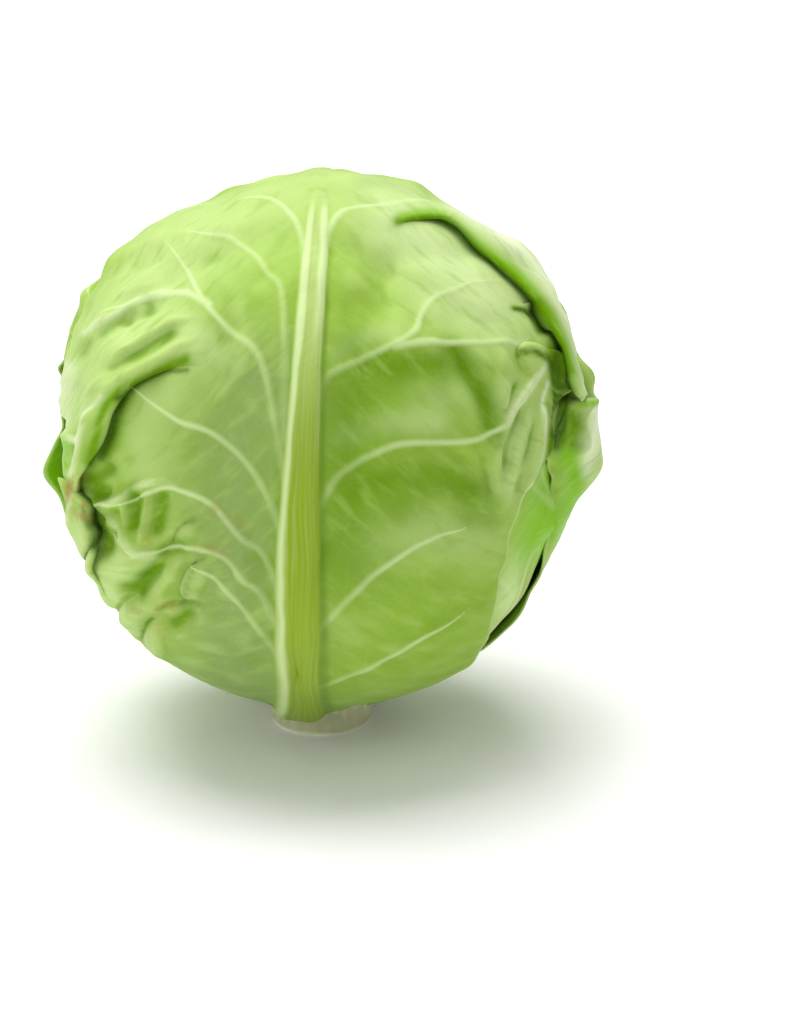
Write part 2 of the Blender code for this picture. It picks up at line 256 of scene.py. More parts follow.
def bell(x: Array) -> Array:
    """A bell of height 1 and half width 1."""
    return np.exp(-np.asarray(x) ** 2)


def ridge(crease: Crease, far: Array, at: Array) -> Array:
    """A crease's height `far` half widths away from it and `at` a share of its length, from 0 to 1."""
    crest = np.exp(-1.6 * (np.sqrt(far ** 2 + 0.02) - 0.14)) if crease.sharp else bell(far)
    return crease.rise * crest * smooth(CREASE_REACH, 2.4, far) * smooth(0, 0.25, at) * smooth(1, 0.75, at)


def spline(points: Places, count: int = 26) -> Array:
    """A smooth curve through the points, read at even steps.

    Args:
        points: What the curve goes through.
        count: How many steps it is read at.

    Returns:
        The curve's points, one row each.
    """
    p = np.asarray(points, float)
    p = np.vstack([2 * p[0] - p[1], p, 2 * p[-1] - p[-2]])
    steps = np.linspace(0, len(points) - 1, count)
    i = np.minimum(steps.astype(int), len(points) - 2)
    t = (steps - i)[:, None]
    a, b, c, d = p[i], p[i + 1], p[i + 2], p[i + 3]
    square, cube = 2 * a - 5 * b + 4 * c - d, 3 * b - a - 3 * c + d
    return 0.5 * (2 * b + (c - a) * t + square * t ** 2 + cube * t ** 3)


def waves(points: Array, count: int, shortest: float, longest: float, seed: int) -> Array:
    """Soft unevenness in space: seeded waves of mixed lengths and ways, about 1 high.

    Args:
        points: Places in space, one row each.
        count: How many waves there are.
        shortest: The shortest wave's length.
        longest: The longest wave's length.
        seed: For the waves' lengths and ways.

    Returns:
        The unevenness at each place.
    """
    draw = np.random.default_rng(seed)
    total = np.zeros(len(points))
    for _ in range(count):
        way = draw.normal(size=3)
        way *= 2 * np.pi / draw.uniform(shortest, longest) / np.linalg.norm(way)
        total += np.sin(points @ way + draw.uniform(0, 6.3))
    return total / count ** 0.5


def nearest_spans(nodes: Array, points: Array) -> tuple[Array, Array, Array]:
    """The place on a line of nodes that is nearest to each point.

    Args:
        nodes: The line's nodes in order, one row each.
        points: The points, one row each.

    Returns:
        The index of the nearest span, the share of that span which lies before the place, and the vector
        from the place to the point.
    """
    starts, spans = nodes[:-1], nodes[1:] - nodes[:-1]
    gaps = points[:, None, :] - starts
    t = np.clip((gaps * spans).sum(2) / (spans ** 2).sum(1), 0, 1)
    gaps = gaps - t[..., None] * spans
    nearest = (gaps ** 2).sum(2).argmin(1)
    rows = np.arange(len(points))
    return nearest, t[rows, nearest], gaps[rows, nearest]


def covered(mask: Array, near: Array, share: Array) -> None:
    """Lays a further share of colour over the mask's places `near`."""
    mask[near] = 1 - (1 - mask[near]) * (1 - share)


def side_veins(starts: tuple[float, ...], reach: float, lift: float, seed: int) -> list[Places]:
    """Veins that leave the midrib on both sides, arch up and run out towards the margin.

    Args:
        starts: Where they leave the midrib, in degrees along it.
        reach: How far across they run, in degrees.
        lift: How far up they run, in degrees.
        seed: For their small differences.

    Returns:
        One path a vein.
    """
    draw = np.random.default_rng(seed)
    veins = []
    for start in starts:
        for side in (-1, 1):
            base = start + draw.uniform(-3, 3)
            out = reach + draw.uniform(-4, 4)
            rise = lift + draw.uniform(-5, 5)
            arch = [(base + up * rise, across * out * side) for up, across in VEIN_ARCH]
            veins.append([(base, 2 * side), *arch])
    return veins


def twigs(veins: list[Places], seed: int) -> list[Places]:
    """Small veins that branch off the side veins, turn by turn to either side.

    Args:
        veins: The side veins, as paths.
        seed: For the branches' places and lengths.

    Returns:
        One path a branch.
    """
    draw = np.random.default_rng(seed)
    branches = []
    for vein in veins:
        curve = spline(vein, 40)
        side = 1
        for step in np.arange(*TWIG_STEPS):
            i = int(step + draw.uniform(-1, 1))
            shrink = cos(radians(curve[i, 1]))
            way = (curve[i + 2] - curve[i]) * (shrink, 1)
            way /= np.hypot(*way)
            turn = radians(draw.uniform(*TWIG_TURN)) * side
            spread = np.array([[cos(turn), -sin(turn)], [sin(turn), cos(turn)]]) @ way
            length = draw.uniform(*TWIG_LENGTH)
            bend = way * length * draw.uniform(0.15, 0.45)
            steps = [spread * length * share + bend * share ** 2 for share in (0, 0.35, 0.7, 1)]
            branches.append([(curve[i, 0] + a / max(shrink, 0.3), curve[i, 1] + b) for a, b in steps])
            side = -side
    return branches


@dataclass
class HeadForm:
    """The heart's surface, which every leaf lies on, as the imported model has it."""

    radius: float = 0.0790
    crown_rise: float = 0.0665
    base_drop: float = 0.0860
    roundness: float = 2.25
    centre_height: float = 0.1025
    swell_rise: float = 0.0012
    swell_waves: int = 12
    swell_seed: int = 7

    @property
    def centre(self) -> Array:
        """The point that angles are seen from."""
        return np.array([0.0, 0.0, self.centre_height])

    @property
    def degree(self) -> float:
        """The length of a degree on the leaves."""
        return radians(self.radius + 0.005)

    def swell(self, d: Array) -> Array:
        """A shared soft unevenness of the whole head.

        Args:
            d: Unit vectors from the head's centre, one row each.

        Returns:
            The unevenness at each, about 1 high.
        """
        draw = np.random.default_rng(self.swell_seed)
        total = 0
        for _ in range(self.swell_waves):
            wave = draw.normal(size=3)
            wave *= draw.uniform(5, 10) / np.linalg.norm(wave)
            total = total + np.sin(d @ wave + draw.uniform(0, 6.3))
        return total / self.swell_waves ** 0.5

    def heart(self, d: Array) -> Array:
        """Distance from the centre to the heart's surface.

        Args:
            d: Unit vectors from the head's centre, one row each.

        Returns:
            The distances in metres.
        """
        rise = np.where(d[..., 2] > 0, self.crown_rise, self.base_drop)
        flat = np.hypot(d[..., 0], d[..., 1]) / self.radius
        body = (flat ** self.roundness + np.abs(d[..., 2] / rise) ** self.roundness) ** (-1 / self.roundness)
        return body + self.swell_rise * self.swell(d) * smooth(-0.97, -0.7, d[..., 2])


@dataclass
class PhotoView:
    """The photograph's view of the head: where the camera is and what a pixel of the picture looks at."""

    target: Array
    elevation: float = 18.0
    distance: float = 1.3
    focal_pixels: float = 3997.0
    width: int = 805
    height: int = 1035
    head_at: tuple[float, float] = (320.0, 425.0)

    def eye(self) -> Array:
        """Where the camera stands."""
        tilt = radians(self.elevation)
        return self.target + np.array([0, -cos(tilt), sin(tilt)]) * self.distance

    def aim(self) -> Array:
        """The point in the middle of the picture.

        Returns:
            The point, in metres.
        """
        tilt = radians(self.elevation)
        pixel = self.distance / self.focal_pixels
        right, down = self.width / 2 - self.head_at[0], self.height / 2 - self.head_at[1]
        shift = np.array([1, 0, 0]) * right - np.array([0, sin(tilt), cos(tilt)]) * down
        return self.target + shift * pixel

    def axes(self) -> tuple[Array, Array, Array]:
        """Unit vectors ahead, to the right and up in the picture.

        Returns:
            The three unit vectors.
        """
        ahead = self.aim() - self.eye()
        ahead /= np.linalg.norm(ahead)
        side = np.cross(ahead, [0, 0, 1])
        side /= np.linalg.norm(side)
        return ahead, side, np.cross(side, ahead)

    def rays(self, pixels: Array) -> Array:
        """Unit vectors from the camera through pixels of the picture.

        Args:
            pixels: Places in the picture, one row each.

        Returns:
            The unit vectors, one row each.
        """
        ahead, side, up = self.axes()
        x = (pixels[:, 0] - self.width / 2) / self.focal_pixels
        y = (pixels[:, 1] - self.height / 2) / self.focal_pixels
        ways = ahead + x[:, None] * side - y[:, None] * up
        return ways / np.linalg.norm(ways, axis=1)[:, None]

    def pixels(self, points: Array) -> Array:
        """Where points in space come to lie in the picture.

        Args:
            points: Points in space, one row each.

        Returns:
            Their places in the picture.
        """
        ahead, side, up = self.axes()
        gaps = points - self.eye()
        scale = self.focal_pixels / (gaps @ ahead)
        return np.stack([self.width / 2 + gaps @ side * scale, self.height / 2 - gaps @ up * scale], 1)

    def facing(self, d: Array) -> Array:
        """1 where a surface with outward directions d faces the camera, 0 where it is turned away."""
        back = self.eye() - self.target
        return smooth(-0.10, 0.08, d @ (back / np.linalg.norm(back)))


@dataclass
class LeafStack:
    """The leaves on the heart, innermost first, each lying on those beneath it."""

    form: HeadForm
    view: PhotoView
    leaves: list[Leaf]
    blade: float = 0.0012
    margin_blade: float = 0.0006
    thinning: float = 0.005
    layer: float = 0.0028
    bed: float = 0.0005
    fit_gap: float = 0.0003
    clasp_width: float = 9.0
    clasp_along: float = -77.5
    clasp_reach: float = 8.0
    lap_clear: float = 0.0025
    lap_ease: float = 0.024
    press_clear: float = 0.0015
    press_ease: float = 0.0070
    midrib_at: tuple[float, ...] = (0.0, 0.17, 0.28, 0.40, 0.53, 0.64, 0.80, 1.0)
    midrib_rise: tuple[float, ...] = (0.0034, 0.0030, 0.0026, 0.0020, 0.0013, 0.0007, 0.0001, 0.0)
    midrib_half_width: tuple[float, ...] = (0.0078, 0.0066, 0.0055, 0.0044, 0.0039, 0.0034, 0.0026, 0.0016)
    strand_rise: float = 0.0007
    strand_ends: tuple[float, float] = (0.8, 0.66)
    vein_reach: float = 0.022
    vein_taper: float = 0.55
    vein_rise: float = 0.0005
    vein_half_width: float = 0.0015
    tent_rise: float = 0.0009
    tent_half_width: float = 0.0075
    pressed_rib: float = 0.12
    twig_half_width: float = 0.0007
    lines_end: float = 6.0
    fold_half_length: float = 0.0066
    fold_step: float = 0.0027
    fold_fade: float = 0.017
    fold_slide: float = 2.33
    fold_ends: tuple[float, float] = (0.044, 0.028)
    fold_reach: float = 0.07
    short_fold_reach: float = 0.024
    ruffle_reach: float = 0.0060
    ruffle_turns: tuple[float, float] = (7, 160)
    crimp_turns: tuple[float, float] = (31, 700)
    crimp_share: float = 0.22
    crimp_reach: float = 0.0035
    flare_reach: float = 0.0062
    flare_wave: float = 0.22
    blister_rise: float = 0.00034
    deepest: float = 0.0015

    def level(self, leaf: Leaf) -> int:
        """How many leaves lie under this one."""
        return [other.name for other in self.leaves].index(leaf.name)

    def outside(self, leaf: Leaf, d: Array) -> Array:
        """How far directions lie outside a leaf's outline, in metres; negative inside.

        Args:
            leaf: The leaf.
            d: Unit vectors from the head's centre, one row each.

        Returns:
            The distances.
        """
        along, across = leaf.angles(d)
        width = leaf.half_width(along, across > 0)
        beyond_side = np.abs(across) - width
        beyond_tip = along - leaf.tip_along(np.clip(across / width, -1, 1))
        beyond_base = np.where(along < -90, 90.0, self.clasp_along - self.clasp_reach - along)
        return np.maximum.reduce([beyond_side, beyond_tip, beyond_base]) * self.form.degree

    def radius(self, leaf: Leaf, d: Array) -> Array:
        """Distance from the centre to the leaf's middle surface.

        Args:
            leaf: The leaf.
            d: Unit vectors from the head's centre, one row each.

        Returns:
            The distances in metres.
        """
        radius = self.form.heart(d) + self.bed + self.blade / 2 + self.fit_gap
        for lower in self.leaves[:self.level(leaf)]:
            radius = radius + self.layer * (1 - smooth(self.lap_clear, self.lap_ease, self.outside(lower, d)))
        return radius

    def exposed(self, leaf: Leaf, d: Array) -> Array:
        """1 where the leaf shows, 0 where another leaf presses it flat.

        Args:
            leaf: The leaf.
            d: Unit vectors from the head's centre, one row each.

        Returns:
            The share at each direction.
        """
        share = np.ones(len(d))
        for upper in self.leaves[self.level(leaf) + 1:]:
            share = share * smooth(self.press_clear, self.press_ease, self.outside(upper, d))
        return share

    def traced(self, leaf: Leaf) -> Leaf:
        """The leaf with the folds that are seen in the photograph brought to places on it.

        Args:
            leaf: The leaf.

        Returns:
            A copy of it, whose folds are all in degrees.
        """
        own = replace(leaf, folds=leaf.folds.copy())
        for item in leaf.seen_folds:
            pixels = np.array(item.path, float)
            ways, eye = self.view.rays(pixels), self.view.eye() - self.form.centre
            reach = np.full(len(pixels), self.form.radius)
            for _ in range(4):
                middle = -ways @ eye
                spare = np.maximum(middle ** 2 - eye @ eye + reach ** 2, 0)
                hits = eye + ways * (middle - np.sqrt(spare))[:, None]
                d = hits / np.linalg.norm(hits, axis=1)[:, None]
                reach = self.radius(leaf, d)
            own.folds.append(replace(item, path=list(zip(*leaf.angles(d)))))
        return own

    def track(self, leaf: Leaf, path: Places, points: Array, reach: float, count: int = 26) -> Track:
        """How the points within `reach` of a path on the leaf lie to it.

        Args:
            leaf: The leaf that the path is on.
            path: Places on the leaf.
            points: Points near the leaf's middle surface.
            reach: Points further away are left out.
            count: How finely the path is read.

        Returns:
            The track of those points.
        """
        curve = spline(path, count)
        d = leaf.direction(curve[:, 0], curve[:, 1])
        nodes = self.form.centre + d * self.radius(leaf, d)[:, None]
        inside = (points > nodes.min(0) - reach) & (points < nodes.max(0) + reach)
        near = np.flatnonzero(inside.all(1))
        nearest, part, gaps = nearest_spans(nodes, points[near])
        sides = np.cross(np.diff(nodes, axis=0), nodes[:-1] - self.form.centre)
        sides = np.vstack([sides[:1], sides[:-1] + sides[1:], sides[-1:]])
        right = (1 - part[:, None]) * sides[nearest] + part[:, None] * sides[nearest + 1]
        out = points[near] - self.form.centre
        out /= np.linalg.norm(out, axis=1)[:, None]
        right -= (right * out).sum(1)[:, None] * out
        right /= np.linalg.norm(right, axis=1)[:, None]
        return Track(near, np.sqrt((gaps ** 2).sum(1)), (gaps * right).sum(1),
                     (nearest + part) / (len(nodes) - 1), right)

    def pleat(self, leaf: Leaf, points: Array, radial: Array, share: Array) -> Array:
        """Folds the leaf: each fold is an S in cross-section that grows from its first point.

        Args:
            leaf: The leaf.
            points: Its points.
            radial: The outward unit vector at each.
            share: How far each is exposed.

        Returns:
            The moved points.
        """
        moved = points.copy()
        for fold in leaf.folds:
            way = self.track(leaf, fold.path, points, self.fold_reach * fold.size, 40)
            under = -fold.side.value * way.rightwards / fold.size
            x = under / self.fold_half_length
            grown = smooth(0, fold.opens_over, way.at) * share[way.near] * smooth(*self.fold_ends, way.off)
            if fold.closes_over:
                grown = grown * smooth(1, 1 - fold.closes_over, way.at)
                grown = grown * bell(way.off / fold.size / self.short_fold_reach)
            slide = fold.side.value * fold.lap * self.fold_slide * x * np.exp(-x * x)
            lift = fold.rise * 0.5 * (1 - np.tanh(under / self.fold_step))
            lift = lift * bell(np.minimum(under, 0) / self.fold_fade)
            moved[way.near] += (grown * slide)[:, None] * way.right
            moved[way.near] += (grown * lift)[:, None] * radial[way.near]
        return moved

    def margin_lift(self, leaf: Leaf, along: Array, v: Array, share: Array) -> tuple[Array, Array]:
        """Ruffles and flares near the margins.

        Args:
            leaf: The leaf.
            along: Each place's angle along it.
            v: Each place's share of the half width.
            share: How far each place is exposed.

        Returns:
            The lift outwards and the distance from the margin, both in metres.
        """
        from_side = (1 - np.abs(v)) * leaf.half_width(along, v > 0) * self.form.degree
        from_tip = (leaf.tip_along(v) - along) * self.form.degree
        edge = np.minimum(from_side, from_tip)
        phase = np.radians(along * self.ruffle_turns[0] + v * self.ruffle_turns[1])
        lift = leaf.ruffle * (0.6 + 0.4 * np.sin(phase)) * np.exp(-edge / self.ruffle_reach)
        uneven = 40 * np.sin(np.radians(along * 5)) + leaf.seed * 77
        crimp = np.sin(np.radians(along * self.crimp_turns[0] + v * self.crimp_turns[1] + uneven))
        lift = lift + self.crimp_share * leaf.ruffle * crimp * np.exp(-edge / self.crimp_reach)
        for flare in leaf.flares:
            near = np.exp(-((along - flare.along) / flare.half_length) ** 4) * (v * flare.side.value > 0)
            wave = np.sin(flare.waves * np.pi * (along - flare.along) / flare.half_length)
            wave = 1 - self.flare_wave + self.flare_wave * wave
            lift = lift + flare.out * near * wave * np.exp(-from_side / self.flare_reach)
        return lift * share * smooth(-74, -60, along), edge

    def midrib(self, leaf: Leaf, points: Array, marks: dict[str, Array]) -> Array:
        """The midrib's height over the blade, with its strands.

        Args:
            leaf: The leaf.
            points: Its points.
            marks: Its marks, which are added to.

        Returns:
            The height at each point, in metres.
        """
        way = self.track(leaf, leaf.midrib, points, 1.0, 40)
        half = np.interp(way.at, self.midrib_at, self.midrib_half_width)
        x = np.sign(way.rightwards) * way.off / half
        rise = np.interp(way.at, self.midrib_at, self.midrib_rise) * np.exp(-(way.off / half) ** 4)
        left = bell((x + 0.72) / 0.24)
        right = 0.7 * bell((x - 0.66) / 0.2) * smooth(0.35, 0.6, way.at)
        groove = 0.5 * bell((x - 1.02) / 0.16) * smooth(0.7, 0.4, way.at)
        marks["rib_x"] = np.clip(x, -3, 3)
        marks["rib_at"] = way.at
        marks["apart"] = way.off / MM
        return rise + self.strand_rise * (left + right - groove) * smooth(*self.strand_ends, way.at)

    def lines(self, leaf: Leaf, paths: list[Places], points: Array, half: float,
              count: int) -> tuple[Array, Array]:
        """How far the nearest of several thin lines is from each point.

        Args:
            leaf: The leaf.
            paths: The lines' paths.
            points: The leaf's points.
            half: A line's half width at its start.
            count: How finely a path is read.

        Returns:
            The signed and the plain distances, in the line's half widths there.
        """
        signed, plain = np.full(len(points), self.lines_end), np.full(len(points), self.lines_end)
        for path in paths:
            way = self.track(leaf, path, points, 8 * half, count)
            local = half * (1 - self.vein_taper * way.at) * smooth(1.04, 0.76, way.at) + MM * MM
            off = way.off / local
            closer = off < plain[way.near]
            chosen = way.near[closer]
            plain[chosen] = off[closer]
            signed[chosen] = np.clip(way.rightwards[closer] / local[closer], -self.lines_end, self.lines_end)
        return signed, plain

    def seen(self, leaf: Leaf, points: Array, share: Array, facing: Array, marks: dict[str, Array]) -> Array:
        """What the photograph shows on the leaf: colours its marks and gives the height of its creases.

        Args:
            leaf: The leaf.
            points: Its points, already folded.
            share: How far each point is exposed.
            facing: How far each point faces the camera.
            marks: The leaf's marks, which are changed.

        Returns:
            The height of the creases at the points, in metres.
        """
        pixels = self.view.pixels(points)
        height = np.zeros(len(points))
        for item in leaf.seen:
            curve = spline(item.path, 24)
            reach = CREASE_REACH * item.half_width
            near = np.flatnonzero((facing > 0) & (pixels > curve.min(0) - reach).all(1)
                                  & (pixels < curve.max(0) + reach).all(1))
            nearest, part, gaps = nearest_spans(curve, pixels[near])
            far = np.linalg.norm(gaps, axis=1) / item.half_width
            if isinstance(item, Crease):
                rise = ridge(item, far, (nearest + part) / (len(curve) - 1))
                height[near] += (share * facing)[near] * rise
            else:
                # a stroke of colour: most are painted light and painted shade
                covered(marks[item.wash.value], near, item.strength * facing[near] * bell(far))
        return height

    def veined(self, leaf: Leaf, points: Array, share: Array, ribs: Array) -> Array:
        """Raises the leaf's side veins and its creases.

        Args:
            leaf: The leaf.
            points: Its points.
            share: How far each is exposed.
            ribs: The height of what stands on the outer face, which is changed.

        Returns:
            How far the blade itself is lifted at each point.
        """
        lift = np.zeros(len(points))
        for path in leaf.veins:
            way = self.track(leaf, path, points, self.vein_reach)
            taper = 1 - self.vein_taper * way.at
            thin = taper * smooth(1.0, 0.9, way.at)
            rise = self.vein_rise * thin * bell(way.off / (self.vein_half_width * taper))
            ribs[way.near] = np.maximum(ribs[way.near], rise)
            lift[way.near] += self.tent_rise * thin * share[way.near] * bell(way.off / self.tent_half_width)
        for crease in leaf.creases:
            way = self.track(leaf, crease.path, points, CREASE_REACH * crease.half_width)
            lift[way.near] += share[way.near] * ridge(crease, way.off / crease.half_width, way.at)
        return lift

    def coloured(self, leaf: Leaf, points: Array, marks: dict[str, Array]) -> None:
        """Marks the leaf's veins, in three sets and the twigs, and its strokes of colour.

        Args:
            leaf: The leaf.
            points: Its points.
            marks: Its marks, which are added to.
        """
        sets = (leaf.veins[::3], leaf.veins[1::3], leaf.veins[2::3], twigs(leaf.veins, leaf.seed))
        for i, paths in enumerate(sets):
            half, count = (self.vein_half_width, 40) if i < 3 else (self.twig_half_width, 9)
            marks[f"line_{i}_x"], marks[f"line_{i}_o"] = self.lines(leaf, paths, points, half, count)
        # masks for the strokes: the bloom and the scars, and the painted light and painted shade
        marks.update({wash.value: np.zeros(len(points)) for wash in Wash})
        for stroke in leaf.strokes:
            way = self.track(leaf, stroke.path, points, STROKE_REACH * stroke.half_width)
            covered(marks[stroke.wash.value], way.near, stroke.strength * bell(way.off / stroke.half_width))

    def sheet(self, leaf: Leaf, u: Array, v: Array) -> Sheet:
        """The leaf at grid places.

        Args:
            leaf: The leaf.
            u: Each place's share of the way from the base to the tip.
            v: Its share of the half width: -1 at the left margin, 1 at the right one.

        Returns:
            The leaf's sheet at those places.
        """
        leaf = self.traced(leaf)
        clasp = np.radians(self.clasp_width * v)
        start = -np.degrees(np.arcsin(np.clip(sin(radians(-self.clasp_along)) / np.cos(clasp), 0, 1)))
        along = start + (leaf.tip_along(v) - start) * u
        across = v * leaf.half_width(along, v > 0)
        d = leaf.direction(along, across)
        points = self.form.centre + d * self.radius(leaf, d)[:, None]
        share = self.exposed(leaf, d)
        lift, edge = self.margin_lift(leaf, along, v, share)
        marks = {"edge": edge / MM, "shown": share}
        ribs = self.midrib(leaf, points, marks)
        lift = lift + self.veined(leaf, points, share, ribs)
        calm = smooth(0, 1.5, np.abs(marks["rib_x"]))
        blister = waves(points, 40, 0.009, 0.024, leaf.seed)
        lift += self.blister_rise * blister * share * calm * smooth(-70, -40, along)
        self.coloured(leaf, points, marks)
        marks["place"] = np.stack([across, along, np.zeros(len(u))], 1) * self.form.degree / MM
        points += lift[:, None] * d
        moved = self.pleat(leaf, points, d, share)
        low = self.seen(leaf, moved, share, self.view.facing(d), marks)
        moved += np.where(low < 0, self.deepest * np.tanh(low / self.deepest), low)[:, None] * d
        ribs *= leaf.ribs * (self.pressed_rib + (1 - self.pressed_rib) * share)
        half_blade = np.interp(edge, [0, self.thinning], [self.margin_blade / 2, self.blade / 2])
        return Sheet(moved, ribs, half_blade, marks)


def deselect() -> None:
    """Leaves nothing selected and nothing active."""
    bpy.ops.object.select_all(action="DESELECT")
    bpy.context.view_layer.objects.active = None


def read_points(mesh: bpy.types.Mesh) -> Array:
    """The mesh's vertex places, one row each.

    Args:
        mesh: The mesh.

    Returns:
        The places of its vertices, in metres.
    """
    places = np.empty(len(mesh.vertices) * 3, np.float32)
    mesh.vertices.foreach_get("co", places)
    return places.reshape(-1, 3).astype(float)


def set_points(mesh: bpy.types.Mesh, points: Array) -> None:
    """Moves the mesh's vertices."""
    mesh.vertices.foreach_set("co", np.asarray(points, np.float32).ravel())
    mesh.update()


def normals_of(mesh: bpy.types.Mesh) -> Array:
    """The mesh's vertex normals.

    Args:
        mesh: The mesh.

    Returns:
        The unit vectors.
    """
    normals = np.empty(len(mesh.vertices) * 3, np.float32)
    mesh.vertex_normals.foreach_get("vector", normals)
    return normals.reshape(-1, 3).astype(float)


def mark(mesh: bpy.types.Mesh, name: str, values: Array) -> None:
    """Stores a number or a vector for every vertex, for a finish to read.

    Args:
        mesh: The mesh.
        name: What the number is called.
        values: One value, or one row, a vertex.
    """
    if values.ndim == 1:
        layer = mesh.attributes.new(name, "FLOAT", "POINT")
        layer.data.foreach_set("value", values.astype(np.float32))
    else:
        layer = mesh.attributes.new(name, "FLOAT_VECTOR", "POINT")
        layer.data.foreach_set("vector", values.astype(np.float32).ravel())


def blurred(grid: Array, passes: int) -> Array:
    """A grid of vectors, each averaged with its neighbours again and again.

    Args:
        grid: The vectors, by row and column.
        passes: How many times they are averaged.

    Returns:
        The softened grid.
    """
    out = grid.copy()
    for _ in range(passes):
        for axis in (0, 1):
            ahead = np.concatenate([out.take(range(1, out.shape[axis]), axis), out.take([-1], axis)], axis)
            behind = np.concatenate([out.take([0], axis), out.take(range(out.shape[axis] - 1), axis)], axis)
            out = 0.5 * out + 0.25 * (ahead + behind)
    return out


@dataclass
class LeafPieces:
    """Makes the leaves' meshes: a fine grid bent into each sheet, given its thickness, ribs and marks."""

    stack: LeafStack
    crowding: float = 0.55
    crowded_at: float = 0.55
    surroundings: tuple[tuple[int, float], ...] = ((6, 1.6), (30, 0.7))
    hollow_scale: float = 0.0011

    def build(self, leaf: Leaf) -> bpy.types.Object:
        """One leaf's finished mesh object.

        Args:
            leaf: The leaf to make.

        Returns:
            Its object, with its marks stored on the vertices.
        """
        deselect()
        rows, columns = leaf.lines
        bpy.ops.mesh.primitive_grid_add(x_subdivisions=columns, y_subdivisions=rows, size=2, calc_uvs=True)
        obj = bpy.context.object
        obj.name = obj.data.name = leaf.name + "_fine"
        grid = read_points(obj.data)
        v, u = grid[:, 0], self.crowded((grid[:, 1] + 1) / 2)
        sheet = self.stack.sheet(leaf, u, v)
        set_points(obj.data, sheet.points)
        normals = normals_of(obj.data)
        shape = (rows + 1, columns + 1)
        outer = sheet.points + normals * (sheet.half_blade + sheet.ribs)[:, None]
        # depth below the surroundings: the finish paints shade in the hollows and a highlight on the crests
        # from it, and dulls the hollows
        sheet.marks["hollow"] = self.hollows(outer, normals, shape)
        shell = obj.modifiers.new("Shell", "SOLIDIFY")
        shell.thickness = self.stack.blade
        shell.offset = -1
        bpy.ops.object.modifier_apply(modifier=shell.name)
        inner = sheet.points - normals * sheet.half_blade[:, None]
        set_points(obj.data, np.vstack([outer, inner]))
        for name, values in sheet.marks.items():
            mark(obj.data, name, np.concatenate([values, values]))
        obj.data.shade_smooth()
        return obj

    def crowded(self, u: Array) -> Array:
        """Grid rows drawn together over the part of the leaf that faces outwards."""
        return u - self.crowding * (u - self.crowded_at) * (1 - np.abs(2 * u - 1) ** 2) * 0.5

    def hollows(self, outer: Array, normals: Array, shape: tuple[int, int]) -> Array:
        """How far each point lies under its near and wider surroundings: 1 in hollows, -1 on crests.

        Args:
            outer: The points of the outer face.
            normals: The unit vectors out of it.
            shape: The grid's rows and columns.

        Returns:
            The depths, by point.
        """
        depth = 0
        for passes, weight in self.surroundings:
            wide = blurred(outer.reshape(*shape, 3), passes).reshape(-1, 3)
            depth = depth + weight * ((wide - outer) * normals).sum(1)
        return np.tanh(depth / self.hollow_scale)


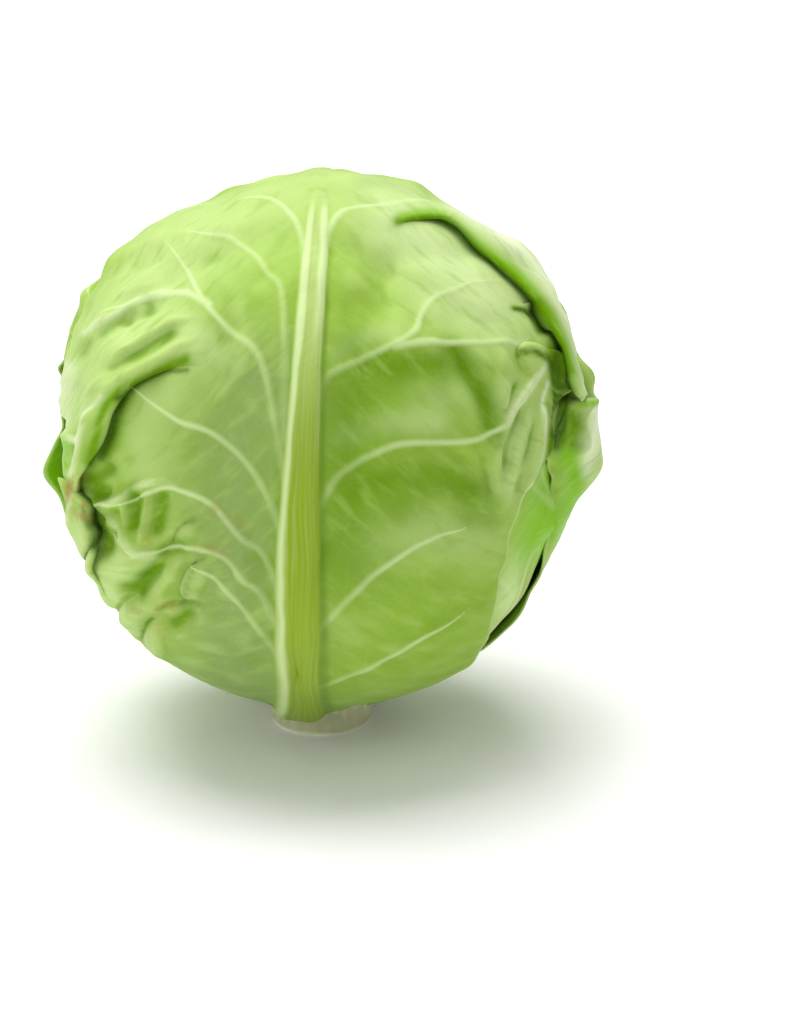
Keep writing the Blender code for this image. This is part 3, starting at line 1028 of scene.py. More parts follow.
class Graph:
    """A node tree, with short ways to add the nodes that the finishes are made of."""

    def __init__(self, tree: bpy.types.NodeTree) -> None:
        """Keeps the tree."""
        self.tree = tree

    def add(self, kind: str, **settings: object) -> bpy.types.Node:
        """A new node with its settings.

        Args:
            kind: Its type.
            **settings: Its properties by name.

        Returns:
            The node.
        """
        node = self.tree.nodes.new(kind)
        for name, value in settings.items():
            setattr(node, name, value)
        return node

    def feed(self, socket: bpy.types.NodeSocket, value: object) -> None:
        """Links an output to the socket, or sets the socket's own value.

        Args:
            socket: An input.
            value: An output, a number or a colour.
        """
        if isinstance(value, bpy.types.NodeSocket):
            self.tree.links.new(value, socket)
        elif socket.type == "RGBA" and len(value) == 3:
            socket.default_value = (*value, 1)
        else:
            socket.default_value = value

    def math(self, operation: str, a: object, b: object = 0.0, clamp: bool = False) -> bpy.types.NodeSocket:
        """One sum, product or other operation.

        Args:
            operation: The operation's name.
            a: A number, or a socket to link.
            b: A number, or a socket to link.
            clamp: Whether the result is kept within 0 and 1.

        Returns:
            The result.
        """
        node = self.add("ShaderNodeMath", operation=operation, use_clamp=clamp)
        self.feed(node.inputs[0], a)
        self.feed(node.inputs[1], b)
        return node.outputs[0]

    def step(self, value: object, low: float, high: float, top: float = 1.0) -> bpy.types.NodeSocket:
        """An eased step from 0 at `low` to `top` at `high`.

        Args:
            value: A number, or a socket to link.
            low: Where the step begins.
            high: Where it ends.
            top: What it rises to.

        Returns:
            The result.
        """
        node = self.add("ShaderNodeMapRange", interpolation_type="SMOOTHSTEP")
        for name, number in (("Value", value), ("From Min", low), ("From Max", high), ("To Max", top)):
            self.feed(node.inputs[name], number)
        return node.outputs[0]

    def mix(self, share: object, a: object, b: object) -> bpy.types.NodeSocket:
        """Two colours mixed.

        Args:
            share: The second colour's share.
            a: The first colour.
            b: The second one.

        Returns:
            The mixed colour.
        """
        node = self.add("ShaderNodeMix", data_type="RGBA", clamp_factor=True)
        self.feed(node.inputs[0], share)
        self.feed(node.inputs[6], a)
        self.feed(node.inputs[7], b)
        return node.outputs[2]

    def read(self, name: str) -> bpy.types.NodeSocket:
        """A number stored on the mesh."""
        return self.add("ShaderNodeAttribute", attribute_name=name).outputs["Fac"]

    def place(self, name: str = "") -> bpy.types.NodeSocket:
        """Where a pattern is read.

        Args:
            name: The stored vector, or nothing for the object's own coordinates.

        Returns:
            The vector.
        """
        if name:
            return self.add("ShaderNodeAttribute", attribute_name=name).outputs["Vector"]
        return self.add("ShaderNodeTexCoord").outputs["Object"]

    def noise(self, where: bpy.types.NodeSocket, scale: object, detail: float = 3.0) -> bpy.types.NodeSocket:
        """Soft noise, about 0.5.

        Args:
            where: The place that it is read at.
            scale: Its scale, a number or a socket.
            detail: How fine it gets.

        Returns:
            The noise.
        """
        node = self.add("ShaderNodeTexNoise")
        self.feed(node.inputs["Vector"], where)
        self.feed(node.inputs["Scale"], scale)
        self.feed(node.inputs["Detail"], detail)
        return node.outputs["Fac"]

    def cells(self, where: bpy.types.NodeSocket, scale: float) -> bpy.types.NodeSocket:
        """The distance from the edges of irregular cells, 0 on them.

        Args:
            where: The place that they are read at.
            scale: Their scale.

        Returns:
            The distance.
        """
        node = self.add("ShaderNodeTexVoronoi", feature="DISTANCE_TO_EDGE")
        self.feed(node.inputs["Vector"], where)
        self.feed(node.inputs["Scale"], scale)
        return node.outputs["Distance"]

    def group(self, shared: bpy.types.NodeTree, **values: object) -> bpy.types.Node:
        """A shared effect with its input values.

        Args:
            shared: The effect's node group.
            **values: Its inputs by name.

        Returns:
            The node.
        """
        node = self.add("ShaderNodeGroup", node_tree=shared)
        for name, value in values.items():
            self.feed(node.inputs[name.replace("_", " ").capitalize()], value)
        return node


def effect(name: str, takes: dict[str, str],
           gives: dict[str, str]) -> tuple[Graph, bpy.types.Node, bpy.types.Node]:
    """A new shader node group.

    Args:
        name: The group's name.
        takes: Its inputs, from name to kind: Float, Color or Vector.
        gives: Its outputs, likewise.

    Returns:
        Its graph, its input node and its output node.
    """
    tree = bpy.data.node_groups.new(name, "ShaderNodeTree")
    for sockets, way in ((takes, "INPUT"), (gives, "OUTPUT")):
        for label, kind in sockets.items():
            tree.interface.new_socket(label, in_out=way, socket_type=f"NodeSocket{kind}")
    graph = Graph(tree)
    return graph, graph.add("NodeGroupInput"), graph.add("NodeGroupOutput")


def vein_effect() -> bpy.types.NodeTree:
    """Side veins, in three sets, and the small veins between them, from the distances stored on the leaf.

    Returns:
        The effect's node group.
    """
    gives = {"Vein": "Float", "Twig": "Float", "Height": "Float"}
    graph, given, result = effect("Veins", {"Width": "Float"}, gives)
    masks = []
    for i, wide in enumerate((1.5, 1.5, 1.5, 1.9)):
        across = graph.math("ABSOLUTE", graph.read(f"line_{i}_x"))
        line = graph.step(graph.math("DIVIDE", across, given.outputs["Width"]), wide, 0.0)
        masks.append(graph.math("MULTIPLY", line, graph.step(graph.read(f"line_{i}_o"), 3.2, 1.8)))
    side = graph.math("MAXIMUM", graph.math("MAXIMUM", masks[0], masks[1]), masks[2])
    graph.feed(result.inputs["Vein"], side)
    graph.feed(result.inputs["Twig"], masks[3])
    graph.feed(result.inputs["Height"], graph.math("MULTIPLY", masks[3], 0.04))
    return graph.tree


def network_effect() -> bpy.types.NodeTree:
    """The finest veins: a net of irregular cells at two sizes, faint and broken.

    Returns:
        The effect's node group.
    """
    graph, given, result = effect("Net", {"Strength": "Float"}, {"Mask": "Float"})
    place = graph.place("place")
    bent = graph.add("ShaderNodeVectorMath", operation="ADD")
    swirl = graph.add("ShaderNodeTexNoise")
    graph.feed(swirl.inputs["Vector"], place)
    graph.feed(swirl.inputs["Scale"], 0.18)
    graph.feed(bent.inputs[0], place)
    push = graph.add("ShaderNodeVectorMath", operation="SCALE")
    graph.feed(push.inputs[0], swirl.outputs["Color"])
    graph.feed(push.inputs["Scale"], 2.4)
    graph.feed(bent.inputs[1], push.outputs[0])
    wide = graph.step(graph.cells(bent.outputs[0], 0.17), 0.075, 0.0)
    fine = graph.step(graph.cells(bent.outputs[0], 0.46), 0.11, 0.0, 0.55)
    broken = graph.step(graph.noise(place, 0.09), 0.36, 0.62)
    net = graph.math("MULTIPLY", graph.math("MAXIMUM", wide, fine), broken)
    graph.feed(result.inputs["Mask"], graph.math("MULTIPLY", net, given.outputs["Strength"]))
    return graph.tree


def streak_effect() -> bpy.types.NodeTree:
    """Soft streaks that run down and out from the midrib, like small slack between the veins.

    Returns:
        The effect's node group.
    """
    gives = {"High": "Float", "Low": "Float", "Height": "Float"}
    graph, given, result = effect("Streaks", {"Scale": "Float"}, gives)
    apart = graph.add("ShaderNodeSeparateXYZ")
    graph.feed(apart.inputs[0], graph.place("place"))
    out = graph.math("ABSOLUTE", apart.outputs[0])
    where = graph.add("ShaderNodeCombineXYZ")
    graph.feed(where.inputs[0], graph.math("MULTIPLY", graph.math("ADD", apart.outputs[1], out), 0.16))
    graph.feed(where.inputs[1], graph.math("MULTIPLY", graph.math("SUBTRACT", apart.outputs[1], out), 0.045))
    streaks = graph.noise(where.outputs[0], given.outputs["Scale"])
    graph.feed(result.inputs["High"], graph.step(streaks, 0.50, 0.72))
    graph.feed(result.inputs["Low"], graph.step(streaks, 0.49, 0.30))
    graph.feed(result.inputs["Height"], streaks)
    return graph.tree


def mottle_effect() -> bpy.types.NodeTree:
    """Uneven colour: broad soft patches and fine flecks between two tones.

    Returns:
        The effect's node group.
    """
    takes = {"Base": "Color", "Light": "Color", "Dark": "Color", "Scale": "Float"}
    graph, given, result = effect("Mottle", takes, {"Color": "Color"})
    place = graph.place()
    broad = graph.noise(place, given.outputs["Scale"])
    fine = graph.noise(place, 420.0, 4.0)
    lit = graph.mix(graph.step(broad, 0.52, 0.74, 0.75), given.outputs["Base"], given.outputs["Light"])
    dim = graph.mix(graph.step(broad, 0.46, 0.28, 0.75), lit, given.outputs["Dark"])
    flecked = graph.mix(graph.step(fine, 0.55, 0.8, 0.14), dim, given.outputs["Light"])
    graph.feed(result.inputs["Color"], flecked)
    return graph.tree


def midrib_effect() -> bpy.types.NodeTree:
    """The midrib's colours across its width: a pale left strand, a yellow-green band, a dim right foot.

    Returns:
        The effect's node group.
    """
    takes = dict.fromkeys(("Base", "Band low", "Band high", "Strand", "Foot"), "Color")
    graph, given, result = effect("Midrib", takes, {"Color": "Color"})
    x, at = graph.read("rib_x"), graph.read("rib_at")
    streaks = graph.add("ShaderNodeCombineXYZ")
    graph.feed(streaks.inputs[0], graph.math("MULTIPLY", x, 5.0))
    graph.feed(streaks.inputs[1], graph.math("MULTIPLY", at, 4.0))
    grain = graph.noise(streaks.outputs[0], 1.6)
    inside = graph.math("MULTIPLY", graph.step(x, -1.25, -0.95), graph.step(x, 1.12, 0.86))
    inside = graph.math("MULTIPLY", inside, graph.step(at, 0.80, 0.66))
    band = graph.mix(graph.step(at, 0.28, 0.54, 0.85), given.outputs["Band low"], given.outputs["Band high"])
    band = graph.mix(graph.step(grain, 0.4, 0.75, 0.22), band, given.outputs["Strand"])
    shifted = graph.math("SUBTRACT", x, graph.step(at, 0.34, 0.52, 0.26))
    left = graph.math("MULTIPLY", graph.step(x, -1.2, -0.85), graph.step(shifted, -0.56, -0.84, 0.85))
    right = graph.math("MULTIPLY", graph.step(x, 0.10, 0.50), graph.step(x, 1.10, 0.80, 0.9))
    right = graph.math("MULTIPLY", right, graph.step(at, 0.42, 0.56))
    foot = graph.math("MULTIPLY", graph.step(x, 0.86, 1.04), graph.step(x, 1.5, 1.12))
    foot = graph.math("MULTIPLY", foot, graph.step(at, 0.62, 0.45, 0.55))
    colour = graph.mix(inside, given.outputs["Base"], band)
    strands = graph.math("MULTIPLY", graph.math("MAXIMUM", left, right), graph.step(at, 0.78, 0.66))
    colour = graph.mix(strands, colour, given.outputs["Strand"])
    graph.feed(result.inputs["Color"], graph.mix(foot, colour, given.outputs["Foot"]))
    return graph.tree


@dataclass
class Effects:
    """The shared node groups, each built once."""

    veins: bpy.types.NodeTree
    net: bpy.types.NodeTree
    streaks: bpy.types.NodeTree
    mottle: bpy.types.NodeTree
    midrib: bpy.types.NodeTree


def principled(name: str) -> tuple[bpy.types.Material, Graph, bpy.types.Node]:
    """A new material with its graph and its Principled BSDF.

    Args:
        name: The finish's name.

    Returns:
        The material, its graph and its shader.
    """
    material = bpy.data.materials.new(name)
    material.use_nodes = True
    return material, Graph(material.node_tree), material.node_tree.nodes["Principled BSDF"]


def bumped(graph: Graph, shader: bpy.types.Node, height: bpy.types.NodeSocket, distance: float) -> None:
    """Feeds a height to the shader's normal through a Bump node.

    Args:
        graph: The material's graph.
        shader: Its shader.
        height: The height, about 0 to 1.
        distance: How high 1 stands, in metres.
    """
    bump = graph.add("ShaderNodeBump")
    graph.feed(bump.inputs["Strength"], 1.0)
    graph.feed(bump.inputs["Distance"], distance)
    graph.feed(bump.inputs["Height"], height)
    graph.feed(shader.inputs["Normal"], bump.outputs[0])


@dataclass(frozen=True)
class LeafFinish:
    """A waxy leaf: green blade, soft pale veins, painted shade in the hollows, painted highlights on the
    crests, a bluish bloom, and the painted light and shade of the leaf's strokes.
    """

    name: str
    green: Colour
    light: Colour
    dark: Colour
    # painted shade in the hollows and painted highlight on the crests
    hollow: Colour
    crest: Colour
    # painted shade colour for the darkest creases and recesses
    crease_shade: Colour = (0.028, 0.080, 0.001)
    vein: Colour = (0.56, 0.69, 0.33)
    bloom: Colour = (0.215, 0.310, 0.105)
    # painted light colour for the lit top and ridges
    pale: Colour = (0.48, 0.63, 0.24)
    # painted highlight colour for lit rims, lips and crests
    wax: Colour = (0.70, 0.78, 0.50)
    # painted shade colour for hollows and the undersides of folds
    deep_shade: Colour = (0.125, 0.265, 0.002)
    # painted light colour for light shining through the thin blade
    backlit: Colour = (0.20, 0.47, 0.002)
    band_low: Colour = (0.25, 0.37, 0.02)
    band_high: Colour = (0.40, 0.54, 0.17)
    foot: Colour = (0.13, 0.24, 0.02)
    scar: Colour = (0.30, 0.22, 0.04)
    margin: Colour = (0.60, 0.72, 0.34)
    mottle_scale: float = 26.0
    streak_scale: float = 1.0
    net_strength: float = 0.05
    vein_width: float = 1.0
    roughness: float = 0.38
    gloss: float = 0.11
    gloss_tint: Colour = (0.80, 1.0, 0.35)
    scatter: float = 0.04
    scatter_colour: Colour = (0.6, 1.0, 0.2)
    scatter_scale: float = 0.004
    bump: float = 0.0003

    def blade(self, graph: Graph, effects: Effects) -> bpy.types.NodeSocket:
        """The colour of the blade between its veins, with the painted light and painted shade laid over it.

        Args:
            graph: The material's graph.
            effects: The shared effects.

        Returns:
            The colour.
        """
        blade = graph.group(effects.mottle, base=self.green, light=self.light, dark=self.dark,
                            scale=self.mottle_scale)
        colour = blade.outputs["Color"]
        # painted light on the lit top and ridges, then the leaf's own bloom
        for wash, tint, share in ((Wash.PAINTED_LIGHT, self.pale, 0.85), (Wash.BLOOM, self.bloom, 0.85)):
            colour = graph.mix(graph.math("MULTIPLY", graph.read(wash.value), share), colour, tint)
        hollow = graph.read("hollow")
        # painted shade in the hollows, painted highlight on the crests
        colour = graph.mix(graph.step(hollow, 0.22, 1.00, 0.62), colour, self.hollow)
        colour = graph.mix(graph.step(hollow, -0.20, -0.95, 0.50), colour, self.crest)
        # painted highlights, painted shade, painted light shining through the blade and painted shade in
        # creases, laid over the colour
        for wash, tint in ((Wash.HIGHLIGHT, self.wax), (Wash.DEEP_SHADE, self.deep_shade), (Wash.BACKLIT, self.backlit),
                           (Wash.CREASE_SHADE, self.crease_shade)):
            colour = graph.mix(graph.math("MULTIPLY", graph.read(wash.value), 1.05, True), colour, tint)
        return colour

    def veined(self, graph: Graph, colour: bpy.types.NodeSocket, streaks: bpy.types.Node,
               net: bpy.types.Node, veins: bpy.types.Node) -> bpy.types.NodeSocket:
        """The blade's colour with its streaks, its net and its side veins, which fade near the midrib.

        Args:
            graph: The material's graph.
            colour: The blade's own colour.
            streaks: The placed streak effect.
            net: The placed net effect.
            veins: The placed vein effect.

        Returns:
            The colour.
        """
        shown = graph.read("shown")
        for name, tint, share in (("High", self.light, 0.36), ("Low", self.dark, 0.30)):
            streak = graph.math("MULTIPLY", streaks.outputs[name], share)
            colour = graph.mix(graph.math("MULTIPLY", streak, shown), colour, tint)
        colour = graph.mix(net.outputs["Mask"], colour, self.vein)
        far = graph.math("MAXIMUM", graph.step(graph.read("apart"), 7.0, 38.0, 0.48),
                         graph.step(graph.read("rib_at"), 0.56, 0.72, 0.40))
        veiled = graph.math("MULTIPLY", graph.read(Wash.BLOOM.value), 0.10)
        bare = graph.math("SUBTRACT", graph.math("ADD", 0.28, far), veiled, True)
        pale = graph.math("MAXIMUM", graph.math("MULTIPLY", veins.outputs["Vein"], bare),
                          graph.math("MULTIPLY", veins.outputs["Twig"], 0.03))
        return graph.mix(pale, colour, self.vein)

    def edged(self, graph: Graph, colour: bpy.types.NodeSocket) -> bpy.types.NodeSocket:
        """The leaf's colour with its pale margin and its dried scars.

        Args:
            graph: The material's graph.
            colour: The colour without them.

        Returns:
            The colour.
        """
        edge = graph.step(graph.read("edge"), 1.4, 0.1, 0.45)
        # no pale margin where the painted shade lies
        edge = graph.math("SUBTRACT", edge, graph.read(Wash.DEEP_SHADE.value), True)
        colour = graph.mix(edge, colour, self.margin)
        patchy = graph.step(graph.noise(graph.place(), 260.0, 5.0), 0.38, 0.66)
        return graph.mix(graph.math("MULTIPLY", graph.read(Wash.SCAR.value), patchy), colour, self.scar)

    def dulled(self, graph: Graph) -> bpy.types.NodeSocket:
        """The roughness: an uneven waxy surface, quite dull in the hollows and under the painted shade.

        Args:
            graph: The material's graph.

        Returns:
            The roughness.
        """
        sheen = graph.math("MULTIPLY", graph.noise(graph.place(), 90.0, 4.0), 0.16)
        sunk = graph.math("MAXIMUM", graph.read(Wash.DEEP_SHADE.value), graph.read(Wash.CREASE_SHADE.value))
        sunk = graph.math("MAXIMUM", sunk, graph.step(graph.read("hollow"), 0.15, 0.9, 0.9), True)
        return graph.math("MAXIMUM", graph.math("ADD", sheen, self.roughness), sunk)

    def material(self, effects: Effects) -> bpy.types.Material:
        """The finish as a material that reads the leaf's marks.

        Args:
            effects: The shared effects.

        Returns:
            The material.
        """
        material, graph, shader = principled(self.name)
        streaks = graph.group(effects.streaks, scale=self.streak_scale)
        net = graph.group(effects.net, strength=self.net_strength)
        veins = graph.group(effects.veins, width=self.vein_width)
        colour = self.veined(graph, self.blade(graph, effects), streaks, net, veins)
        midrib = graph.group(effects.midrib, base=colour, band_low=self.band_low, band_high=self.band_high,
                             strand=self.vein, foot=self.foot)
        # where painted light shining through the blade is laid, the blade's colour, which holds it, takes the
        # place of the midrib's
        colour = graph.mix(graph.read(Wash.BACKLIT.value), midrib.outputs["Color"], colour)
        graph.feed(shader.inputs["Base Color"], self.edged(graph, colour))
        graph.feed(shader.inputs["Roughness"], self.dulled(graph))
        shader.inputs["Specular IOR Level"].default_value = self.gloss
        shader.inputs["Specular Tint"].default_value = (*self.gloss_tint, 1)
        shader.inputs["Subsurface Weight"].default_value = self.scatter
        shader.inputs["Subsurface Radius"].default_value = self.scatter_colour
        shader.inputs["Subsurface Scale"].default_value = self.scatter_scale
        fine = graph.math("MULTIPLY", graph.noise(graph.place(), 900.0, 2.0), 0.06)
        slack = graph.math("MULTIPLY", streaks.outputs["Height"], 1.4)
        height = graph.math("ADD", veins.outputs["Height"], net.outputs["Mask"])
        bumped(graph, shader, graph.math("ADD", graph.math("ADD", height, fine), slack), self.bump)
        return material


@dataclass(frozen=True)
class HeartFinish:
    """Pale packed leaves, with thin veins in their surface."""

    name: str = "heart_leaf"
    pale: Colour = (0.62, 0.74, 0.34)
    light: Colour = (0.76, 0.84, 0.50)
    dark: Colour = (0.50, 0.66, 0.22)
    roughness: float = 0.42
    bump: float = 0.0003

    def material(self, effects: Effects) -> bpy.types.Material:
        """The finish as a material.

        Args:
            effects: The shared effects.

        Returns:
            The material.
        """
        material, graph, shader = principled(self.name)
        blade = graph.group(effects.mottle, base=self.pale, light=self.light, dark=self.dark, scale=30.0)
        lines = graph.step(graph.cells(graph.place(), 70.0), 0.05, 0.0, 0.6)
        graph.feed(shader.inputs["Base Color"], graph.mix(lines, blade.outputs["Color"], self.light))
        dull = graph.math("ADD", graph.math("MULTIPLY", lines, 0.1), self.roughness)
        graph.feed(shader.inputs["Roughness"], dull)
        bumped(graph, shader, lines, self.bump)
        return material


@dataclass(frozen=True)
class StumpFinish:
    """A cut stem: pale pith, a ring of fibre bundles, a firm rim that has dried a little."""

    name: str = "cut_stem"
    pith: Colour = (0.80, 0.82, 0.60)
    pale_pith: Colour = (0.88, 0.88, 0.72)
    wood: Colour = (0.66, 0.70, 0.40)
    rim: Colour = (0.42, 0.42, 0.20)
    radius: float = 0.0165
    roughness: float = 0.5
    bump: float = 0.0003

    def material(self, effects: Effects) -> bpy.types.Material:
        """The finish as a material.

        Args:
            effects: The shared effects.

        Returns:
            The material.
        """
        material, graph, shader = principled(self.name)
        place = graph.place()
        apart = graph.add("ShaderNodeSeparateXYZ")
        graph.feed(apart.inputs[0], place)
        squares = graph.math("ADD", graph.math("POWER", apart.outputs[0], 2.0),
                             graph.math("POWER", apart.outputs[1], 2.0))
        out = graph.math("DIVIDE", graph.math("SQRT", squares), self.radius)
        wobbly = graph.math("ADD", out, graph.math("MULTIPLY", graph.noise(place, 160.0), 0.12))
        flesh = graph.group(effects.mottle, base=self.pith, light=self.pale_pith, dark=self.wood, scale=150.0)
        bundles = graph.math("MULTIPLY", graph.step(wobbly, 0.66, 0.76), graph.step(wobbly, 0.98, 0.88))
        fibres = graph.math("MULTIPLY", bundles, graph.step(graph.cells(place, 700.0), 0.25, 0.05))
        woody = graph.math("ADD", graph.math("MULTIPLY", bundles, 0.35), fibres)
        colour = graph.mix(woody, flesh.outputs["Color"], self.wood)
        dried = graph.step(wobbly, 0.98, 1.08, 0.75)
        graph.feed(shader.inputs["Base Color"], graph.mix(dried, colour, self.rim))
        dull = graph.math("ADD", graph.math("MULTIPLY", dried, 0.2), self.roughness)
        graph.feed(shader.inputs["Roughness"], dull)
        bumped(graph, shader, graph.math("ADD", fibres, graph.noise(place, 500.0)), self.bump)
        return material


@dataclass
class Heart:
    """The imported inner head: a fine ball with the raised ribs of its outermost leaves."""

    form: HeadForm
    stump_top: float = 0.0190
    fit_gap: float = 0.0003
    relief: float = 0.0012
    rib_turns: tuple[float, ...] = (0.4, 2.6, 4.7)
    rib_width: float = 0.05
    ripple: float = 0.0003
    deepest: float = 0.002

    def build(self) -> bpy.types.Object:
        """The heart's mesh object, cut flat where the stump meets it.

        Returns:
            The object.
        """
        deselect()
        bpy.ops.mesh.primitive_ico_sphere_add(subdivisions=7, radius=1)
        obj = bpy.context.object
        obj.name = obj.data.name = "heart_fine"
        d = read_points(obj.data)
        d /= np.linalg.norm(d, axis=1)[:, None]
        turn = np.arctan2(d[:, 0], d[:, 1])
        ribs = sum(bell(np.sin((turn - start) / 2) / self.rib_width) for start in self.rib_turns)
        sunk = self.relief * (1 - 0.6 * ribs) + self.ripple * waves(d, 20, 0.2, 0.6, 5)
        radius = self.form.heart(d) - self.fit_gap - np.clip(sunk, 0, self.deepest)
        points = self.form.centre + d * radius[:, None]
        points[:, 2] = np.maximum(points[:, 2], self.stump_top + self.fit_gap)
        set_points(obj.data, points)
        obj.data.shade_smooth()
        return obj


@dataclass
class Stump:
    """The cut stem: a slightly flared post with leaf scars round it and a clean cut face at the floor."""

    radius: float = 0.0165
    top: float = 0.0190
    flare: float = 0.0012
    chamfer: float = 0.0012
    swelling: float = 0.0030
    waist: float = 0.45
    turns: int = 160
    scar_depth: float = 0.0006
    groove_depth: float = 0.00035

    def build(self) -> bpy.types.Object:
        """The stump's mesh object.

        Returns:
            The object.
        """
        deselect()
        bpy.ops.mesh.primitive_cylinder_add(vertices=self.turns, radius=1, depth=1, end_fill_type="TRIFAN")
        obj = bpy.context.object
        obj.name = obj.data.name = "stump_fine"
        bpy.ops.object.mode_set(mode="EDIT")
        bpy.ops.mesh.select_all(action="SELECT")
        bpy.ops.mesh.subdivide(number_cuts=9)
        bpy.ops.object.mode_set(mode="OBJECT")
        set_points(obj.data, self.shaped(read_points(obj.data)))
        bpy.ops.object.shade_smooth_by_angle(angle=radians(38))
        return obj

    def shaped(self, points: Array) -> Array:
        """The plain cylinder's points moved to the stump's own outline.

        Args:
            points: Points of a cylinder of radius 1 and height 1 about the origin.

        Returns:
            The same points on the stump.
        """
        out, turn = np.hypot(points[:, 0], points[:, 1]), np.arctan2(points[:, 1], points[:, 0])
        level = points[:, 2] + 0.5
        height = level * self.top
        levels = [0, self.chamfer, self.swelling, self.waist * self.top, self.top]
        outline = np.interp(height, levels, [self.radius - self.chamfer, self.radius,
                                             self.radius + 0.4 * self.flare, self.radius, self.radius])
        wall = smooth(0.9, 1.0, out) * smooth(0.02, 0.2, level)
        scars = bell((np.sin(3 * turn + 9 * level) - 0.7) / 0.25) * bell((level - 0.55) / 0.2)
        grooves = np.sin(23 * turn + 2 * np.sin(5 * turn))
        outline = outline - wall * (self.scar_depth * scars + self.groove_depth * (0.5 + 0.5 * grooves))
        return np.stack([out * outline * np.cos(turn), out * outline * np.sin(turn), height], 1)


@dataclass
class Studio:
    """A pale floor, soft light from above and the camera at the photograph's angle."""

    view: PhotoView
    floor_size: float = 6.0
    white: float = 0.93
    sky: float = 0.56

    def build(self) -> None:
        """Adds the floor, the sky, the lights and the camera."""
        self.floor()
        self.world()
        self.light("top_light", (-0.25, 0.55, 2.20), 2.0, 62.0)
        self.light("left_fill", (-1.0, -0.9, 0.65), 0.8, 4.0)
        self.camera()
        bpy.context.scene.view_settings.view_transform = "Standard"

    def floor(self) -> None:
        """A wide white floor."""
        deselect()
        bpy.ops.mesh.primitive_plane_add(size=self.floor_size)
        plane = bpy.context.object
        plane.name = "floor"
        material, _, shader = principled("studio_floor")
        shader.inputs["Base Color"].default_value = (self.white, self.white, self.white, 1)
        shader.inputs["Roughness"].default_value = 0.9
        shader.inputs["Specular IOR Level"].default_value = 0.0
        plane.data.materials.append(material)

    def world(self) -> None:
        """Even white light from all round."""
        world = bpy.data.worlds.new("studio")
        world.use_nodes = True
        background = world.node_tree.nodes["Background"]
        background.inputs["Color"].default_value = (1, 1, 1, 1)
        background.inputs["Strength"].default_value = self.sky
        bpy.context.scene.world = world

    def light(self, name: str, place: tuple[float, float, float], size: float, watts: float) -> None:
        """A soft square lamp turned to the head.

        Args:
            name: The lamp's name.
            place: Where it hangs.
            size: How wide it is.
            watts: Its power.
        """
        lamp = bpy.data.objects.new(name, bpy.data.lights.new(name, "AREA"))
        bpy.context.collection.objects.link(lamp)
        lamp.data.energy = watts
        lamp.data.size = size
        lamp.location = place
        lamp.rotation_euler = (Vector(self.view.target) - lamp.location).to_track_quat("-Z", "Y").to_euler()

    def camera(self) -> None:
        """The photograph's view: a long lens, the head up and left of the middle."""
        camera = bpy.data.objects.new("camera", bpy.data.cameras.new("camera"))
        bpy.context.collection.objects.link(camera)
        camera.data.lens = self.view.focal_pixels / self.view.height * camera.data.sensor_width
        camera.location = self.view.eye()
        camera.rotation_euler = Vector(self.view.aim() - self.view.eye()).to_track_quat("-Z", "Y").to_euler()
        bpy.context.scene.camera = camera


FRONT_VEINS = [
    [(16, -7), (36, -7), (49, -8), (54, -11), (61, -14), (67, -18), (71, -21), (76, -27), (84, -36)],
    [(8, -7), (20, -9), (29, -11), (34, -13), (39, -18), (44, -22), (50, -26), (60, -30), (73, -34),
     (88, -38)],
    [(50, -26), (55, -31), (57, -36), (60, -41), (62, -48), (66, -58)],
    [(-6, -7), (4, -11), (9, -14), (13, -18), (17, -24), (19, -30), (22, -35), (27, -45)],
    [(-20, -7), (-10, -12), (-8, -16), (-4, -20), (0, -24), (2, -30), (2, -36), (-7, -48), (-11, -60)],
    [(-32, -7), (-20, -12), (-17, -16), (-13, -20), (-12, -26), (-14, -32), (-20, -42), (-18, -52)],
    [(-42, -6), (-30, -12), (-24, -16), (-20, -20), (-18, -24), (-18, -27)],
    [(52, 0), (66, 2), (73, 5), (76, 8), (80, 14), (87, 20), (97, 30)],
    [(20, -1), (27, 1), (30, 5), (36, 16), (40, 21), (45, 23), (52, 27), (56, 32), (60, 36), (66, 45)],
    [(36, 18), (37, 22), (38, 28), (40, 36), (43, 44), (48, 50)],
    [(0, -1), (7, 3), (10, 7), (12, 11), (14, 17), (14, 30), (15, 37), (18, 43), (27, 48), (38, 52)],
    [(-30, -2), (-18, 8), (-12, 16), (-9, 24), (-9, 34)],
    [(-50, -2), (-42, 8), (-36, 18), (-32, 32)],
    [(56, -3), (66, -3.6), (74, -6), (81, -11), (87, -20)],
]
FRONT_CREASES = [
    Crease([(52, -34), (54, -42), (55, -48), (55, -54), (51, -61)], -0.0012, 0.0032),
    Crease([(46, -30), (48, -36), (46, -41), (44, -46), (41, -56)], 0.0014, 0.0032),
    Crease([(43, -31), (43, -36), (41, -42), (38, -48)], -0.0009, 0.0028),
    Crease([(36, -32), (38, -36), (37, -40), (35, -46), (31, -53)], 0.0012, 0.0030),
    Crease([(2, -40), (-4, -41), (-10, -41), (-14, -40)], 0.0016, 0.0024),
    Crease([(-1, -44), (-6, -44), (-12, -45)], -0.0014, 0.0034),
    Crease([(-5, -28), (-10, -32), (-15, -35), (-19, -36)], -0.0012, 0.0018),
    Crease([(-17, -26), (-20, -28), (-25, -30), (-31, -31)], -0.0014, 0.0020),
    Crease([(-21, -33), (-26, -38), (-32, -43)], -0.0014, 0.0034),
    Crease([(-32, -34), (-42, -40), (-52, -40)], 0.0016, 0.0036),
    Crease([(37, 24), (34, 30), (27, 35), (17, 40)], -0.0014, 0.0040),
    Crease([(40, 45), (42, 50), (42, 54), (39, 62)], -0.0016, 0.0022),
    Crease([(54, 47), (57, 52), (61, 57)], -0.0010, 0.0020),
    Crease([(6, 46), (-2, 44), (-10, 42)], 0.0012, 0.0030),
]
BACK_VEIN_STARTS = (-58, -40, -22, -4, 14, 34, 54)
INNER_VEIN_STARTS = (-35, -10, 15)
